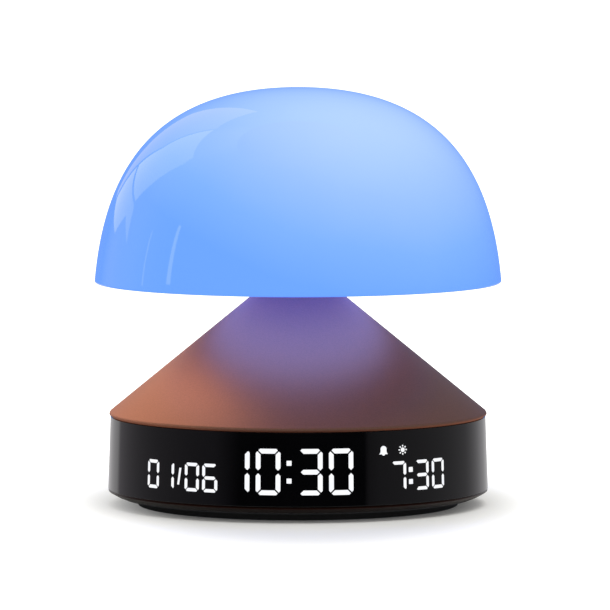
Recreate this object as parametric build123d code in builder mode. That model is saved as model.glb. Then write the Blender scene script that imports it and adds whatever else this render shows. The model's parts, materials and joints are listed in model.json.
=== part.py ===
from build123d import *
import os
from math import asin, atan2, cos, degrees, radians, sin, sqrt

# Sunrise alarm clock. Millimetres, +Z up, front towards -Y.
# The origin is the centre of the foot, on the table.
# Angles round the clock are counted from the front, towards +X, so 180 is the rear.

os.makedirs("parts", exist_ok=True)

# --- Driving sizes ---------------------------------------------------------------------------

# General fits
slide_gap = 0.3             # between a button or slider and what it passes through
stem_running_fit = 0.06     # radial, between the stem and the hub that slides on it
seam = 0.3                  # between the band and the rear panel, on each side
pilot_radius = 0.9          # small screws
post_pilot_radius = 1.25    # cover, stem and cone screws
head_clearance = 0.2        # round and over a sunk screw head
small_part_round = 0.4      # corners of switches and of the slider

# Shade
shade_radius = 75.0
shade_rim_drop = 0.6        # rim's lower edge below the cone's neck
shade_height = 71.8
shade_side_lean = 3.4       # inward lean of the side over the length of its handle
shade_side_handle = 40.0
shade_crown_handle = 54.5
shade_wall = 2.4
shade_rim_wall = 2.1
shade_rim_round = 0.7
rebate_depth = 5.0          # from the rim up to the ledge that the underside seats on
rebate_ledge = 1.0
shade_travel = 1.0

# Underside of the shade
underside_thickness = 2.0
underside_hole_gap = 2.6    # radial, round the nut
boss_circle_radius = 30.0
boss_radius = 3.4
boss_count = 3

# Cone
cone_lip_overhang = 0.4     # past the band's top edge
cone_lip_height = 0.7
cone_groove_height = 0.5    # shadow gap between the band and the lip
cone_groove_depth = 0.3
cone_neck_wall = 3.4        # round the stem
cone_neck_z = 82.6
cone_neck_thickness = 1.6
cone_neck_step = 2.5        # inner shoulder round the stem
cone_wall = 1.8
cone_boss_inset = 12.8      # from the deck's edge
cone_boss_radius = 3.6
cone_boss_angles = (0, 120, 240)

# Band round the base
band_bottom_z = 6.0
band_top_z = 32.9
band_inner_radius = 67.0
band_top_wall = 2.2
band_flare = 0.92           # how far the face leans out from top to bottom
band_edge_chamfer = 0.3
rear_opening = 100.0        # degrees of the circle that the rear panel takes

# Base ring, cover and foot
base_ring_inset = 0.12      # from the band's lower edge
base_ring_lip = 0.8
base_ring_height = 2.5
base_ring_chamfer = 3.1
base_ring_face = 1.7        # flat underside between the chamfer and the cover
base_ring_ledge = 2.6       # seat of the cover's rim
cover_bottom_z = 2.8
cover_rim_thickness = 1.8
cover_thickness = 2.6
cover_gap = 0.2             # radial, between the cover and the base ring
foot_inset = 6.0            # from the cover's edge
foot_width = 4.0
foot_groove_depth = 0.6
foot_notch_depth = 2.0
foot_notch_width = 9.0      # degrees
foot_notch_angles = (120, 150, 180, 210, 240)
grille_hole_radius = 1.1
grille_margin = 2.3         # from the outer ring of holes to the speaker's basket
grille_rings = 3

# Chassis
deck_gap = 0.2              # radial, inside the band
deck_thickness = 2.5
deck_drop = 1.0             # deck's top below the band's top
skirt_thickness = 2.2
skirt_display_gap = 3.0     # degrees, past the display's housing
skirt_switch_gap = 3.4      # degrees, before the slide switch's plate
post_inset = 8.0            # from the foot's inner edge
post_radius = 4.0
post_angles = (45, 135, 225, 315)
spigot_thickness = 2.2

# Stem and what it carries
stem_radius = 7.0
stem_wall = 2.0
stem_end = 2.85             # above the clip
stem_flange_width = 9.0
stem_flange_thickness = 3.0
nut_width = 3.4             # round the stem, at a corner
platform_gap = 0.6          # radial, to the underside's bosses
platform_clearance = 1.6    # above the underside
platform_thickness = 2.0
platform_hub_width = 3.2
platform_hub_height = 1.4
switch_board_hole = 4.0     # radial, round the stem
switch_board_margin = 1.0   # inside the platform's edge
switch_board_thickness = 1.2
tact_size = 6.0
tact_height = 3.5
plunger_radius = 1.75
plunger_height = 0.5
press_reserve = 0.1         # left over a switch when its button is fully pressed
carrier_margin = 4.0        # outside the boss circle
carrier_thickness = 2.0
sleeve_wall = 3.0
sleeve_height = 11.0
clip_width = 2.4
clip_thickness = 1.0
clip_depth = 0.8
clip_play = 0.25
spring_wire_radius = 0.45
spring_gap = 1.6            # from the stem to the middle of the wire
spring_turns = 4
led_board_margin = 4.0      # inside the boss circle
led_board_thickness = 1.4
led_inset = 6.0             # from the board's edge to the middle of the LEDs
led_count = 12
led_size = 3.5
led_height = 1.2
cable_radius = 1.4
cable_loop_rise = 7.0       # above the stem
cable_landing_gap = 5.0     # outside the sleeve

# Display
inlay_depth = 0.6           # lit shapes set into the band's face
time_angle = -2.6
time_z = 18.6
time_height = 16.7
time_width = 9.0
time_stroke = 1.75
time_pitch = 9.3            # degrees between the digits of a pair
time_pair_offset = 10.9     # degrees from the colon to the middle of a pair
time_dot = 1.8
time_dot_spread = 6.4
date_angle = -37.9
date_z = 15.7
date_height = 10.35
date_width = 6.2
date_pitch = 6.2
date_pair_offset = 7.7
slash_height = 6.1
slash_width = 0.9
slash_lean = 0.9
alarm_angle = 35.8
alarm_z = 16.1
alarm_height = 10.85
alarm_width = 6.4
alarm_pitch = 6.6
alarm_offset = 4.3          # degrees from the colon to the digits next to it
alarm_dot = 1.8
alarm_dot_spread = 4.35
small_stroke = 1.2
icon_size = 3.5
icon_z = 25.6
bell_angle = 26.4
sun_angle = 33.0
mitre_gap = 0.15            # half the gap between two segments at a corner, as a share of the stroke
waist_gap = 0.3             # half the gap between the upper and lower uprights, likewise
display_span = 120.0
display_frame_depth = 2.1
display_board_thickness = 1.0
display_window_margin = 3.0
display_led_height = 0.8
display_led_width = 2.0

# Main board and speaker
main_board_length = 70.0
main_board_post_gap = 4.23  # to the cover's posts, on both long sides
board_thickness = 1.6
main_board_drop = 1.8       # below the deck
main_screw_inset = 4.0
chip_places = [(-22, 8, 10, 10), (22, 10, 7, 7), (-21, -9, 5, 6)]    # x, y, length, width
chip_height = 1.2
capacitor_places = [(20, -10), (27, -6)]
capacitor_radius = 3.15
capacitor_height = 7.0
speaker_cell_gap = 3.4       # between the flange and the cell's holder
speaker_flange_width = 4.0
speaker_flange_thickness = 1.4
speaker_basket_taper = 6.0   # of the radius, up to the magnet
speaker_basket_height = 9.2
speaker_basket_wall = 1.2
speaker_magnet_height = 6.8
speaker_screw_margin = 2.0   # inside the flange's edge
speaker_pilot_depth = 1.6
speaker_cone_rim = 2.0
speaker_cone_thickness = 0.7
speaker_cone_lift = 0.4      # above the cover

# Buttons, from the +X end to the -X end
button_names = ["menu", "minus", "snooze", "plus", "light"]
button_pitch = 12.5
button_z = 22.0
button_radius = 3.8
button_proud = 0.8
button_flange_radius = 5.1
button_flange_thickness = 1.0
button_travel = 0.6
guide_depth = 8.15          # from the band's inner face to the end of a button's guide
guide_wall = 1.3
button_board_half_length = 29.5
button_board_bottom_z = 15.0
button_board_top_z = 27.0
lug_x = 18.75
lug_width = 5.0
lug_depth = 5.0

# Alarm slider
slider_board_gap = 9.88     # from the end of the button board to the slider's middle
slider_low_z = 18.0
slider_travel = 3.0
slider_knob_width = 2.6
slider_knob_height = 4.0
slider_proud = 0.9
slider_plate_width = 5.4
slider_plate_height = 10.6
slider_plate_thickness = 1.0
slider_plate_gap = 0.4
slider_peg = 1.6
slider_peg_depth = 2.0
switch_body_width = 8.0
switch_body_height = 12.0
switch_body_depth = 5.0
switch_body_proud = 1.0     # in front of its mounting plate
switch_plate_width = 17.0
switch_plate_thickness = 1.2
switch_screw_offset = 6.3
switch_post_radius = 2.0

# Power inlet (USB-C receptacle)
inlet_z = 11.5
inlet_width = 8.94
inlet_height = 3.26
inlet_depth = 7.5
inlet_wall = 0.3
inlet_clearance = 0.17
inlet_face_wall = 1.4       # panel left behind the plug's recess
tongue_width = 6.7
tongue_thickness = 0.7
tongue_length = 5.2
inlet_base_length = 2.0
plug_recess_width = 13.0
plug_recess_height = 7.0
power_board_half_width = 14.0
power_board_gap = 2.0       # to the band's inner face
power_board_length = 15.0
power_board_thickness = 1.2
power_post_x = 10.5
power_post_inset = 3.5
power_post_radius = 2.4

# Coin cell and its cap
cell_inset = 15.0           # from the foot's inner edge to the cell's axis
cell_radius = 10.0
cell_height = 3.2
cap_radius = 12.0
cap_gap = 0.3
cap_lug_radius = 14.0
cap_lug_thickness = 1.0
cap_lug_span = 28.0
cap_turn = 60.0
cap_entry_margin = 2.0      # degrees, at each end of a lug's way in
cap_coin_slot = 1.8
holder_radius = 15.6
holder_roof = 1.0
contact_radius = 8.0
contact_thickness = 0.4

# Screws: head radius, head height, shank radius
small_screw = (1.9, 1.3, pilot_radius)
large_screw = (2.7, 1.4, post_pilot_radius)
small_screw_length = 3.6
cover_screw_length = 9.5
cone_screw_length = 8.0

# --- Sizes that follow from them -------------------------------------------------------------

band_top_radius = band_inner_radius + band_top_wall
band_bottom_radius = band_top_radius + band_flare
base_ring_radius = band_bottom_radius - base_ring_inset
base_ring_bottom_radius = base_ring_radius - base_ring_chamfer
base_ring_bottom_z = band_bottom_z - base_ring_height
cover_radius = base_ring_bottom_radius - base_ring_face - cover_gap
base_ring_inner_radius = cover_radius + cover_gap - base_ring_ledge
foot_outer_radius = cover_radius - foot_inset
foot_inner_radius = foot_outer_radius - foot_width
post_circle_radius = foot_inner_radius - post_inset
deck_radius = band_inner_radius - deck_gap
cone_lip_radius = band_top_radius + cone_lip_overhang
cone_seat_radius = band_top_radius - cone_groove_depth
cone_neck_radius = stem_radius + cone_neck_wall
cone_neck_inner_radius = stem_radius + cone_neck_step
cone_boss_circle_radius = deck_radius - cone_boss_inset
spigot_inner_radius = deck_radius - spigot_thickness
shade_rim_z = cone_neck_z - shade_rim_drop
shade_top_z = shade_rim_z + shade_height
rebate_radius = shade_radius - shade_rim_wall
underside_top_z = shade_rim_z + rebate_depth
lip_z = band_top_z + cone_groove_height
cone_shoulder_z = lip_z + cone_lip_height
cone_slope = (cone_neck_z - cone_shoulder_z) / (cone_lip_radius - cone_neck_radius)
cone_inset = cone_wall / sin(atan2(cone_slope, 1))
deck_top_z = band_top_z - deck_drop
deck_bottom_z = deck_top_z - deck_thickness
cover_top_z = cover_bottom_z + cover_thickness
cover_rim_top_z = cover_bottom_z + cover_rim_thickness
stem_bore_radius = stem_radius - stem_wall
stem_flange_radius = stem_radius + stem_flange_width
stem_screw_circle_radius = stem_radius + stem_flange_width * 0.55
nut_corner_radius = stem_radius + nut_width
underside_hole_radius = nut_corner_radius + underside_hole_gap
platform_radius = boss_circle_radius - boss_radius - platform_gap
platform_hub_radius = stem_radius + platform_hub_width
platform_bottom_z = underside_top_z + platform_clearance
platform_top_z = platform_bottom_z + platform_thickness
nut_top_z = platform_bottom_z - platform_hub_height
switch_board_inner_radius = stem_radius + switch_board_hole
switch_board_outer_radius = platform_radius - switch_board_margin
switch_board_top_z = platform_top_z + switch_board_thickness
shade_switch_circle_radius = (switch_board_inner_radius + switch_board_outer_radius) / 2
plunger_top_z = switch_board_top_z + tact_height + plunger_height
carrier_radius = boss_circle_radius + carrier_margin
carrier_bottom_z = plunger_top_z + shade_travel + press_reserve
carrier_top_z = carrier_bottom_z + carrier_thickness
sleeve_radius = stem_radius + stem_running_fit + sleeve_wall
sleeve_top_z = carrier_bottom_z + sleeve_height
clip_radius = stem_radius + clip_width
clip_bottom_z = sleeve_top_z + clip_play
stem_top_z = clip_bottom_z + clip_thickness + stem_end
spring_radius = stem_radius + spring_gap
spring_space = carrier_bottom_z - platform_top_z
led_board_radius = boss_circle_radius - led_board_margin
led_circle_radius = led_board_radius - led_inset
led_board_top_z = carrier_top_z + led_board_thickness
cable_loop_z = stem_top_z + cable_loop_rise
cable_landing_radius = sleeve_radius + cable_landing_gap
board_back_radius = deck_radius - display_frame_depth
main_board_width = 2 * (post_circle_radius * sin(radians(post_angles[0])) - post_radius - main_board_post_gap)
main_screw_x = main_board_length / 2 - main_screw_inset
main_screw_y = main_board_width / 2 - main_screw_inset
main_board_top_z = deck_bottom_z - main_board_drop
main_board_bottom_z = main_board_top_z - board_thickness
rear_start = 180 - rear_opening / 2
seam_angle = degrees(seam / 2 / band_inner_radius)
guide_end_y = band_inner_radius - guide_depth
flange_y = guide_end_y - slide_gap - button_flange_thickness
plunger_y = flange_y - button_travel - press_reserve
button_board_y = plunger_y - plunger_height - tact_height
lug_y = button_board_y - board_thickness
slider_angle = 180 - degrees(asin((button_board_half_length + slider_board_gap) / band_inner_radius))
skirt_inner_radius = deck_radius - skirt_thickness
skirt_start = display_span / 2 + skirt_display_gap
skirt_end = slider_angle - degrees(asin(switch_plate_width / 2 / skirt_inner_radius)) - skirt_switch_gap
slider_plate_front = band_inner_radius - slider_plate_gap
slider_plate_back = slider_plate_front - slider_plate_thickness
switch_front = slider_plate_back - slider_plate_gap
switch_seat = switch_front - switch_body_proud
slot_height = slider_knob_height + slider_travel + 2 * slide_gap
slot_z = slider_low_z + slider_travel / 2
inlet_face_y = band_inner_radius + inlet_face_wall
inlet_board_top_z = inlet_z - inlet_height / 2
power_board_bottom_z = inlet_board_top_z - power_board_thickness
power_board_end_y = band_inner_radius - power_board_gap
power_board_start_y = power_board_end_y - power_board_length
power_post_y = power_board_start_y + power_post_inset
speaker_flange_radius = foot_inner_radius - cell_inset - holder_radius - speaker_cell_gap
speaker_basket_radius = speaker_flange_radius - speaker_flange_width
speaker_magnet_radius = speaker_basket_radius - speaker_basket_taper
grille_pitch = (speaker_basket_radius - speaker_basket_wall - grille_margin) / grille_rings
speaker_top_z = cover_top_z + speaker_flange_thickness
basket_top_z = speaker_top_z + speaker_basket_height
magnet_bottom_z = basket_top_z + speaker_basket_wall
cap_top_z = cover_top_z + cap_gap + cap_lug_thickness
cell_bottom_z = cap_top_z + cap_gap
cell_top_z = cell_bottom_z + cell_height
holder_top_z = cell_top_z + contact_thickness + holder_roof
cap_spot = Vector(cell_inset - foot_inner_radius, 0, 0)


# --- Helpers ---------------------------------------------------------------------------------

def outward(angle):
    """Unit vector away from the axis at an angle counted from the front."""
    return Vector(sin(radians(angle)), -cos(radians(angle)), 0)


def facing_plane(angle, radius, z):
    """Plane square to the radius there: X to the right as seen from outside, Y up."""
    side = (cos(radians(angle)), sin(radians(angle)), 0)
    return Plane(origin=outward(angle) * radius + Vector(0, 0, z), x_dir=side, z_dir=outward(angle))


def upright_plane(angle):
    """Plane through the axis: X outward at that angle, Y up."""
    return Plane(origin=(0, 0, 0), x_dir=outward(angle), z_dir=outward(angle).cross(Vector(0, 0, 1)))


def spot(angle, radius, z):
    """Point at that angle, radius and height."""
    return outward(angle) * radius + Vector(0, 0, z)


def ring_sector(inner, outer, start, span):
    """Flat sector of a ring, from one angle through a span of degrees."""
    with BuildSketch() as sector:
        with BuildLine():
            far = CenterArc((0, 0), outer, start - 90, span)
            near = CenterArc((0, 0), inner, start - 90, span)
            Line(far @ 0, near @ 0)
            Line(far @ 1, near @ 1)
        make_face()
    return sector.sketch


def outline(*points):
    """Closed flat shape through the points."""
    with BuildSketch() as shape:
        with BuildLine():
            Polyline(*points, close=True)
        make_face()
    return shape.sketch


def screw(size, length):
    """Pan-head screw. The underside of its head is at the origin and its shank points to -Z."""
    head_radius, head_height, shank_radius = size
    with BuildPart() as body:
        with BuildSketch():
            Circle(head_radius)
        extrude(amount=head_height)
        fillet(body.faces().sort_by(Axis.Z)[-1].edges(), head_height * 0.35)
        with BuildSketch(Plane.XY.offset(head_height)):
            Rectangle(head_radius * 1.1, head_radius * 0.3)
            Rectangle(head_radius * 0.3, head_radius * 1.1)
        extrude(amount=-head_height * 0.55, mode=Mode.SUBTRACT)
        with BuildSketch():
            Circle(shank_radius)
        extrude(amount=-length)
    return body.part


def tact_switch(height, stem_height):
    """Square push switch standing on the XY plane."""
    with BuildPart() as body:
        with BuildSketch():
            RectangleRounded(tact_size, tact_size, small_part_round)
        extrude(amount=height)
        with BuildSketch(Plane.XY.offset(height)):
            Circle(plunger_radius)
        extrude(amount=stem_height)
    return body.part


def flip(plane):
    """The same place, seen from behind."""
    return Plane(origin=plane.origin, x_dir=plane.x_dir, z_dir=-plane.z_dir)


segment_names = {"0": "abcdef", "1": "bc", "3": "abcdg", "6": "acdefg", "7": "abc"}


def bar(length, stroke, start_tip, end_tip):
    """Horizontal segment from x = 0. A tip is its pointed end's height, as a share of the stroke."""
    return outline(
        (0, start_tip * stroke),
        (start_tip * stroke, 0),
        (length - end_tip * stroke, 0),
        (length, end_tip * stroke),
        (length - (1 - end_tip) * stroke, stroke),
        ((1 - start_tip) * stroke, stroke),
    )


def seven_segments(digit, width, height, stroke):
    """A lit digit, centred. Corner tips lie near the digit's outline and waist tips in mid-stroke."""
    corner = 0.34
    inset = (corner + mitre_gap * sqrt(2)) * stroke
    across = width - 2 * inset
    upright = height / 2 - inset - waist_gap * stroke
    level = bar(across, stroke, corner, corner)
    middle = bar(width - (1 + 2 * mitre_gap) * stroke, stroke, 0.5, 0.5)
    rising = bar(upright, stroke, corner, 0.5)
    left, low = -width / 2, -height / 2
    places = {
        "d": Location((left + inset, low)) * level,
        "a": Location((left + inset, -low), (180, 0, 0)) * level,
        "g": Location((left + (0.5 + mitre_gap) * stroke, -stroke / 2)) * middle,
        "c": Location((-left, low + inset), (0, 0, 90)) * rising,
        "e": Location((left, low + inset), (0, 180, 90)) * rising,
        "b": Location((-left, -low - inset), (180, 0, 90)) * rising,
        "f": Location((left, -low - inset), (0, 0, -90)) * rising,
    }
    return [places[name] for name in segment_names[digit]]


def bell(size):
    """Bell icon, centred."""
    half = size / 2
    with BuildSketch() as icon:
        with BuildLine():
            top = ThreePointArc((-0.66 * half, 0.1 * half), (0, half), (0.66 * half, 0.1 * half))
            Polyline(top @ 1, (0.72 * half, -0.35 * half), (half, -0.72 * half), (0.35 * half, -0.72 * half))
            ThreePointArc((0.35 * half, -0.72 * half), (0, -half), (-0.35 * half, -0.72 * half))
            Polyline(
                (-0.35 * half, -0.72 * half), (-half, -0.72 * half), (-0.72 * half, -0.35 * half), top @ 0)
        make_face()
    return icon.sketch


def sun(size):
    """Sun icon, centred: a disc and eight short rays."""
    with BuildSketch() as icon:
        Circle(size * 0.24)
        with PolarLocations(size * 0.42, 8):
            SlotOverall(size * 0.19, size * 0.15)
    return icon.sketch


# --- Shade body: what moves when the dome is pressed -----------------------------------------

with BuildPart() as shade_dome:
    with BuildSketch(Plane.XZ):
        with BuildLine():
            outer = Bezier(
                (shade_radius, shade_rim_z),
                (shade_radius - shade_side_lean, shade_rim_z + shade_side_handle),
                (shade_crown_handle, shade_top_z),
                (0, shade_top_z),
            )
            inner = Bezier(
                (rebate_radius - rebate_ledge, underside_top_z),
                (rebate_radius - rebate_ledge - shade_side_lean,
                 shade_rim_z + shade_side_handle - shade_wall / 2),
                (shade_crown_handle - shade_wall / 2, shade_top_z - shade_wall),
                (0, shade_top_z - shade_wall),
            )
            Line(outer @ 1, inner @ 1)
            Polyline(inner @ 0, (rebate_radius, underside_top_z), (rebate_radius, shade_rim_z), outer @ 0)
        make_face()
    revolve(axis=Axis.Z)
    rim_edges = shade_dome.edges().filter_by(GeomType.CIRCLE).group_by(Axis.Z)[0]
    fillet(rim_edges.sort_by(SortBy.RADIUS)[-1], shade_rim_round)
shade_dome.part.label = "shade_dome"
export_step(shade_dome.part, "parts/shade_dome.step")

with BuildPart() as shade_underside:
    with BuildSketch(Plane.XY.offset(underside_top_z - underside_thickness)):
        Circle(rebate_radius)
        Circle(underside_hole_radius, mode=Mode.SUBTRACT)
    extrude(amount=underside_thickness)
    with BuildSketch(Plane.XY.offset(underside_top_z)):
        with PolarLocations(boss_circle_radius, boss_count):
            Circle(boss_radius)
    extrude(amount=carrier_bottom_z - underside_top_z)
    with BuildSketch(Plane.XY.offset(carrier_bottom_z)):
        with PolarLocations(boss_circle_radius, boss_count):
            Circle(pilot_radius)
    extrude(amount=-small_screw_length, mode=Mode.SUBTRACT)
shade_underside.part.label = "shade_underside"
export_step(shade_underside.part, "parts/shade_underside.step")

with BuildPart() as shade_carrier:
    with BuildSketch(Plane.XY.offset(carrier_bottom_z)):
        Circle(carrier_radius)
    extrude(amount=carrier_thickness)
    with BuildSketch(Plane.XY.offset(carrier_bottom_z)):
        Circle(sleeve_radius)
    extrude(amount=sleeve_height)
    with BuildSketch(Plane.XY.offset(carrier_bottom_z)):
        Circle(stem_radius + stem_running_fit)
    extrude(amount=sleeve_height, mode=Mode.SUBTRACT)
    with BuildSketch(Plane.XY.offset(carrier_bottom_z)):
        with PolarLocations(boss_circle_radius, boss_count):
            Circle(pilot_radius)
    extrude(amount=carrier_thickness, mode=Mode.SUBTRACT)
shade_carrier.part.label = "shade_carrier"
export_step(shade_carrier.part, "parts/shade_carrier.step")

with BuildPart() as carrier_screws:
    for index in range(boss_count):
        place = Plane(spot(90 + index * 360 / boss_count, boss_circle_radius, carrier_top_z))
        with Locations(place):
            add(screw(small_screw, small_screw_length))
carrier_screws.part.label = "carrier_screws"
export_step(carrier_screws.part, "parts/carrier_screws.step")

with BuildPart() as led_board:
    with BuildSketch(Plane.XY.offset(carrier_top_z)):
        Circle(led_board_radius)
        Circle(sleeve_radius, mode=Mode.SUBTRACT)
    extrude(amount=led_board_thickness)
led_board.part.label = "led_board"
export_step(led_board.part, "parts/led_board.step")

with BuildPart() as led_chips:
    with BuildSketch(Plane.XY.offset(led_board_top_z)):
        with PolarLocations(led_circle_radius, led_count):
            RectangleRounded(led_size, led_size, small_part_round)
    extrude(amount=led_height)
led_chips.part.label = "led_chips"
export_step(led_chips.part, "parts/led_chips.step")

# --- Stem and the press mechanism ------------------------------------------------------------

stem_screw_planes = [Plane(spot(a, stem_screw_circle_radius, deck_top_z + stem_flange_thickness))
                     for a in (60, 180, 300)]

with BuildPart() as stem_tube:
    with BuildSketch(Plane.XY.offset(deck_top_z)):
        Circle(stem_flange_radius)
    extrude(amount=stem_flange_thickness)
    with BuildSketch(Plane.XY.offset(deck_top_z)):
        Circle(stem_radius)
    extrude(amount=stem_top_z - deck_top_z)
    with BuildSketch(Plane.XY.offset(deck_top_z)):
        Circle(stem_bore_radius)
        with Locations(*[tuple(plane.origin)[:2] for plane in stem_screw_planes]):
            Circle(post_pilot_radius)
    extrude(amount=stem_top_z - deck_top_z, mode=Mode.SUBTRACT)
    with BuildSketch(Plane.XY.offset(clip_bottom_z)):
        Circle(stem_radius)
        Circle(stem_radius - clip_depth, mode=Mode.SUBTRACT)
    extrude(amount=clip_thickness, mode=Mode.SUBTRACT)
stem_tube.part.label = "stem_tube"
export_step(stem_tube.part, "parts/stem_tube.step")

with BuildPart() as stem_screws:
    with Locations(*stem_screw_planes):
        add(screw(large_screw, stem_flange_thickness + deck_thickness))
stem_screws.part.label = "stem_screws"
export_step(stem_screws.part, "parts/stem_screws.step")

with BuildPart() as stem_nut:
    with BuildSketch(Plane.XY.offset(cone_neck_z)):
        RegularPolygon(nut_corner_radius, 6)
        Circle(stem_radius, mode=Mode.SUBTRACT)
    extrude(amount=nut_top_z - cone_neck_z)
stem_nut.part.label = "stem_nut"
export_step(stem_nut.part, "parts/stem_nut.step")

with BuildPart() as stem_clip:
    with BuildSketch(Plane.XY.offset(clip_bottom_z)):
        Circle(clip_radius)
        Circle(stem_radius - clip_depth, mode=Mode.SUBTRACT)
        with Locations((clip_radius, 0)):
            Rectangle(2 * clip_radius, stem_radius, mode=Mode.SUBTRACT)
    extrude(amount=clip_thickness)
stem_clip.part.label = "stem_clip"
export_step(stem_clip.part, "parts/stem_clip.step")

with BuildPart() as switch_platform:
    with BuildSketch(Plane.XY.offset(nut_top_z)):
        Circle(platform_hub_radius)
    extrude(amount=platform_hub_height)
    with BuildSketch(Plane.XY.offset(platform_bottom_z)):
        Circle(platform_radius)
    extrude(amount=platform_thickness)
    with BuildSketch(Plane.XY.offset(nut_top_z)):
        Circle(stem_radius)
    extrude(amount=platform_top_z - nut_top_z, mode=Mode.SUBTRACT)
switch_platform.part.label = "switch_platform"
export_step(switch_platform.part, "parts/switch_platform.step")

with BuildPart() as switch_board:
    with BuildSketch(Plane.XY.offset(platform_top_z)):
        Circle(switch_board_outer_radius)
        Circle(switch_board_inner_radius, mode=Mode.SUBTRACT)
    extrude(amount=switch_board_thickness)
switch_board.part.label = "switch_board"
export_step(switch_board.part, "parts/switch_board.step")

with BuildPart() as shade_switches:
    for angle in (30, 150, 270):
        with Locations(Plane(spot(angle, shade_switch_circle_radius, switch_board_top_z))):
            add(tact_switch(tact_height, plunger_height))
shade_switches.part.label = "shade_switches"
export_step(shade_switches.part, "parts/shade_switches.step")

with BuildPart() as return_spring:
    with BuildLine():
        coil = Helix(
            pitch=(spring_space - 2 * spring_wire_radius) / spring_turns,
            height=spring_space - 2 * spring_wire_radius,
            radius=spring_radius,
            center=(0, 0, platform_top_z + spring_wire_radius),
        )
    with BuildSketch(Plane(origin=coil @ 0, z_dir=coil % 0)):
        Circle(spring_wire_radius)
    sweep(path=coil, is_frenet=True)
return_spring.part.label = "return_spring"
export_step(return_spring.part, "parts/return_spring.step")

with BuildPart() as led_cable:
    with BuildLine():
        run = FilletPolyline(
            (0, 0, main_board_top_z),
            (0, 0, cable_loop_z),
            (0, -cable_landing_radius, cable_loop_z),
            (0, -cable_landing_radius, led_board_top_z),
            radius=cable_landing_radius * 0.45,
        )
    with BuildSketch(Plane(origin=run @ 0, z_dir=run % 0)):
        Circle(cable_radius)
    sweep(path=run)
led_cable.part.label = "led_cable"
export_step(led_cable.part, "parts/led_cable.step")

# --- Cone ------------------------------------------------------------------------------------

cone_inner_line_z = cone_shoulder_z + (cone_lip_radius - cone_inset - cone_neck_inner_radius) * cone_slope
cone_inner_foot_z = cone_shoulder_z + (cone_lip_radius - cone_inset - spigot_inner_radius) * cone_slope
cone_boss_limit = cone_lip_radius - cone_inset / 2
cone_points = [
    (cone_lip_radius, cone_shoulder_z),
    (cone_neck_radius, cone_neck_z),
    (stem_radius, cone_neck_z),
    (stem_radius, cone_neck_z - cone_neck_thickness),
    (cone_neck_inner_radius, cone_neck_z - cone_neck_thickness),
    (cone_neck_inner_radius, cone_inner_line_z),
    (spigot_inner_radius, cone_inner_foot_z),
    (spigot_inner_radius, deck_top_z),
    (deck_radius, deck_top_z),
    (deck_radius, band_top_z),
    (cone_seat_radius, band_top_z),
    (cone_seat_radius, lip_z),
    (cone_lip_radius, lip_z),
]

with BuildPart() as cone_envelope:
    with BuildSketch(Plane.XZ):
        add(outline((0, deck_top_z), (cone_boss_limit, deck_top_z), (cone_boss_limit, cone_shoulder_z),
                    (0, cone_shoulder_z + cone_boss_limit * cone_slope)))
    revolve(axis=Axis.Z)

with BuildPart() as cone_shell:
    with BuildSketch(Plane.XY.offset(deck_top_z)):
        for angle in cone_boss_angles:
            with Locations(outward(angle) * cone_boss_circle_radius):
                Circle(cone_boss_radius)
    extrude(amount=cone_boss_circle_radius)
    add(cone_envelope.part, mode=Mode.INTERSECT)
    with BuildSketch(Plane.XZ):
        add(outline(*cone_points))
    revolve(axis=Axis.Z)
    with BuildSketch(Plane.XY.offset(deck_top_z)):
        for angle in cone_boss_angles:
            with Locations(outward(angle) * cone_boss_circle_radius):
                Circle(post_pilot_radius)
    extrude(amount=cone_screw_length - deck_thickness, mode=Mode.SUBTRACT)
    lip_edges = cone_shell.edges().filter_by(GeomType.CIRCLE).filter_by(
        lambda edge: abs(edge.radius - cone_lip_radius) < 0.01)
    fillet(lip_edges.sort_by(Axis.Z)[-1], cone_lip_height * 0.8)
cone_shell.part.label = "cone_shell"
export_step(cone_shell.part, "parts/cone_shell.step")

with BuildPart() as cone_screws:
    for angle in cone_boss_angles:
        with Locations(flip(Plane(spot(angle, cone_boss_circle_radius, deck_bottom_z)))):
            add(screw(large_screw, cone_screw_length))
cone_screws.part.label = "cone_screws"
export_step(cone_screws.part, "parts/cone_screws.step")

# --- Display band and its lit shapes ---------------------------------------------------------

with BuildPart() as band_envelope:
    with BuildSketch(Plane.XZ):
        add(outline((0, band_bottom_z), (band_bottom_radius, band_bottom_z),
                    (band_top_radius, band_top_z), (0, band_top_z)))
    revolve(axis=Axis.Z)

with BuildPart() as band_skin:
    with BuildSketch(Plane.XZ):
        add(outline((band_bottom_radius - inlay_depth, band_bottom_z), (band_bottom_radius, band_bottom_z),
                    (band_top_radius, band_top_z), (band_top_radius - inlay_depth, band_top_z)))
    revolve(axis=Axis.Z)


def dots(size, spread):
    """Two square dots of a colon, centred."""
    with BuildSketch() as pair:
        with GridLocations(0, spread, 1, 2):
            RectangleRounded(size, size, size * 0.12)
    return pair.sketch


def inlay(shapes):
    """Lit shapes let into the band's face. shapes is a list of (angle, height, flat shape)."""
    with BuildPart() as lit:
        for angle, z, shape in shapes:
            with BuildSketch(facing_plane(angle, band_inner_radius, z)):
                add(shape)
            extrude(amount=band_bottom_radius - band_inner_radius)
        add(band_skin.part, mode=Mode.INTERSECT)
    return lit.part


def pair_of_digits(angle, pitch, z, digits, size):
    """Two digits side by side, centred on an angle."""
    return [(angle + side * pitch / 2, z, part)
            for side, digit in zip((-1, 1), digits)
            for part in seven_segments(digit, *size)]


time_size = (time_width, time_height, time_stroke)
date_size = (date_width, date_height, small_stroke)
alarm_size = (alarm_width, alarm_height, small_stroke)

time_digits = inlay(
    pair_of_digits(time_angle - time_pair_offset, time_pitch, time_z, "10", time_size)
    + pair_of_digits(time_angle + time_pair_offset, time_pitch, time_z, "30", time_size)
    + [(time_angle, time_z, dots(time_dot, time_dot_spread))]
)
time_digits.label = "time_digits"
export_step(time_digits, "parts/time_digits.step")

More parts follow.
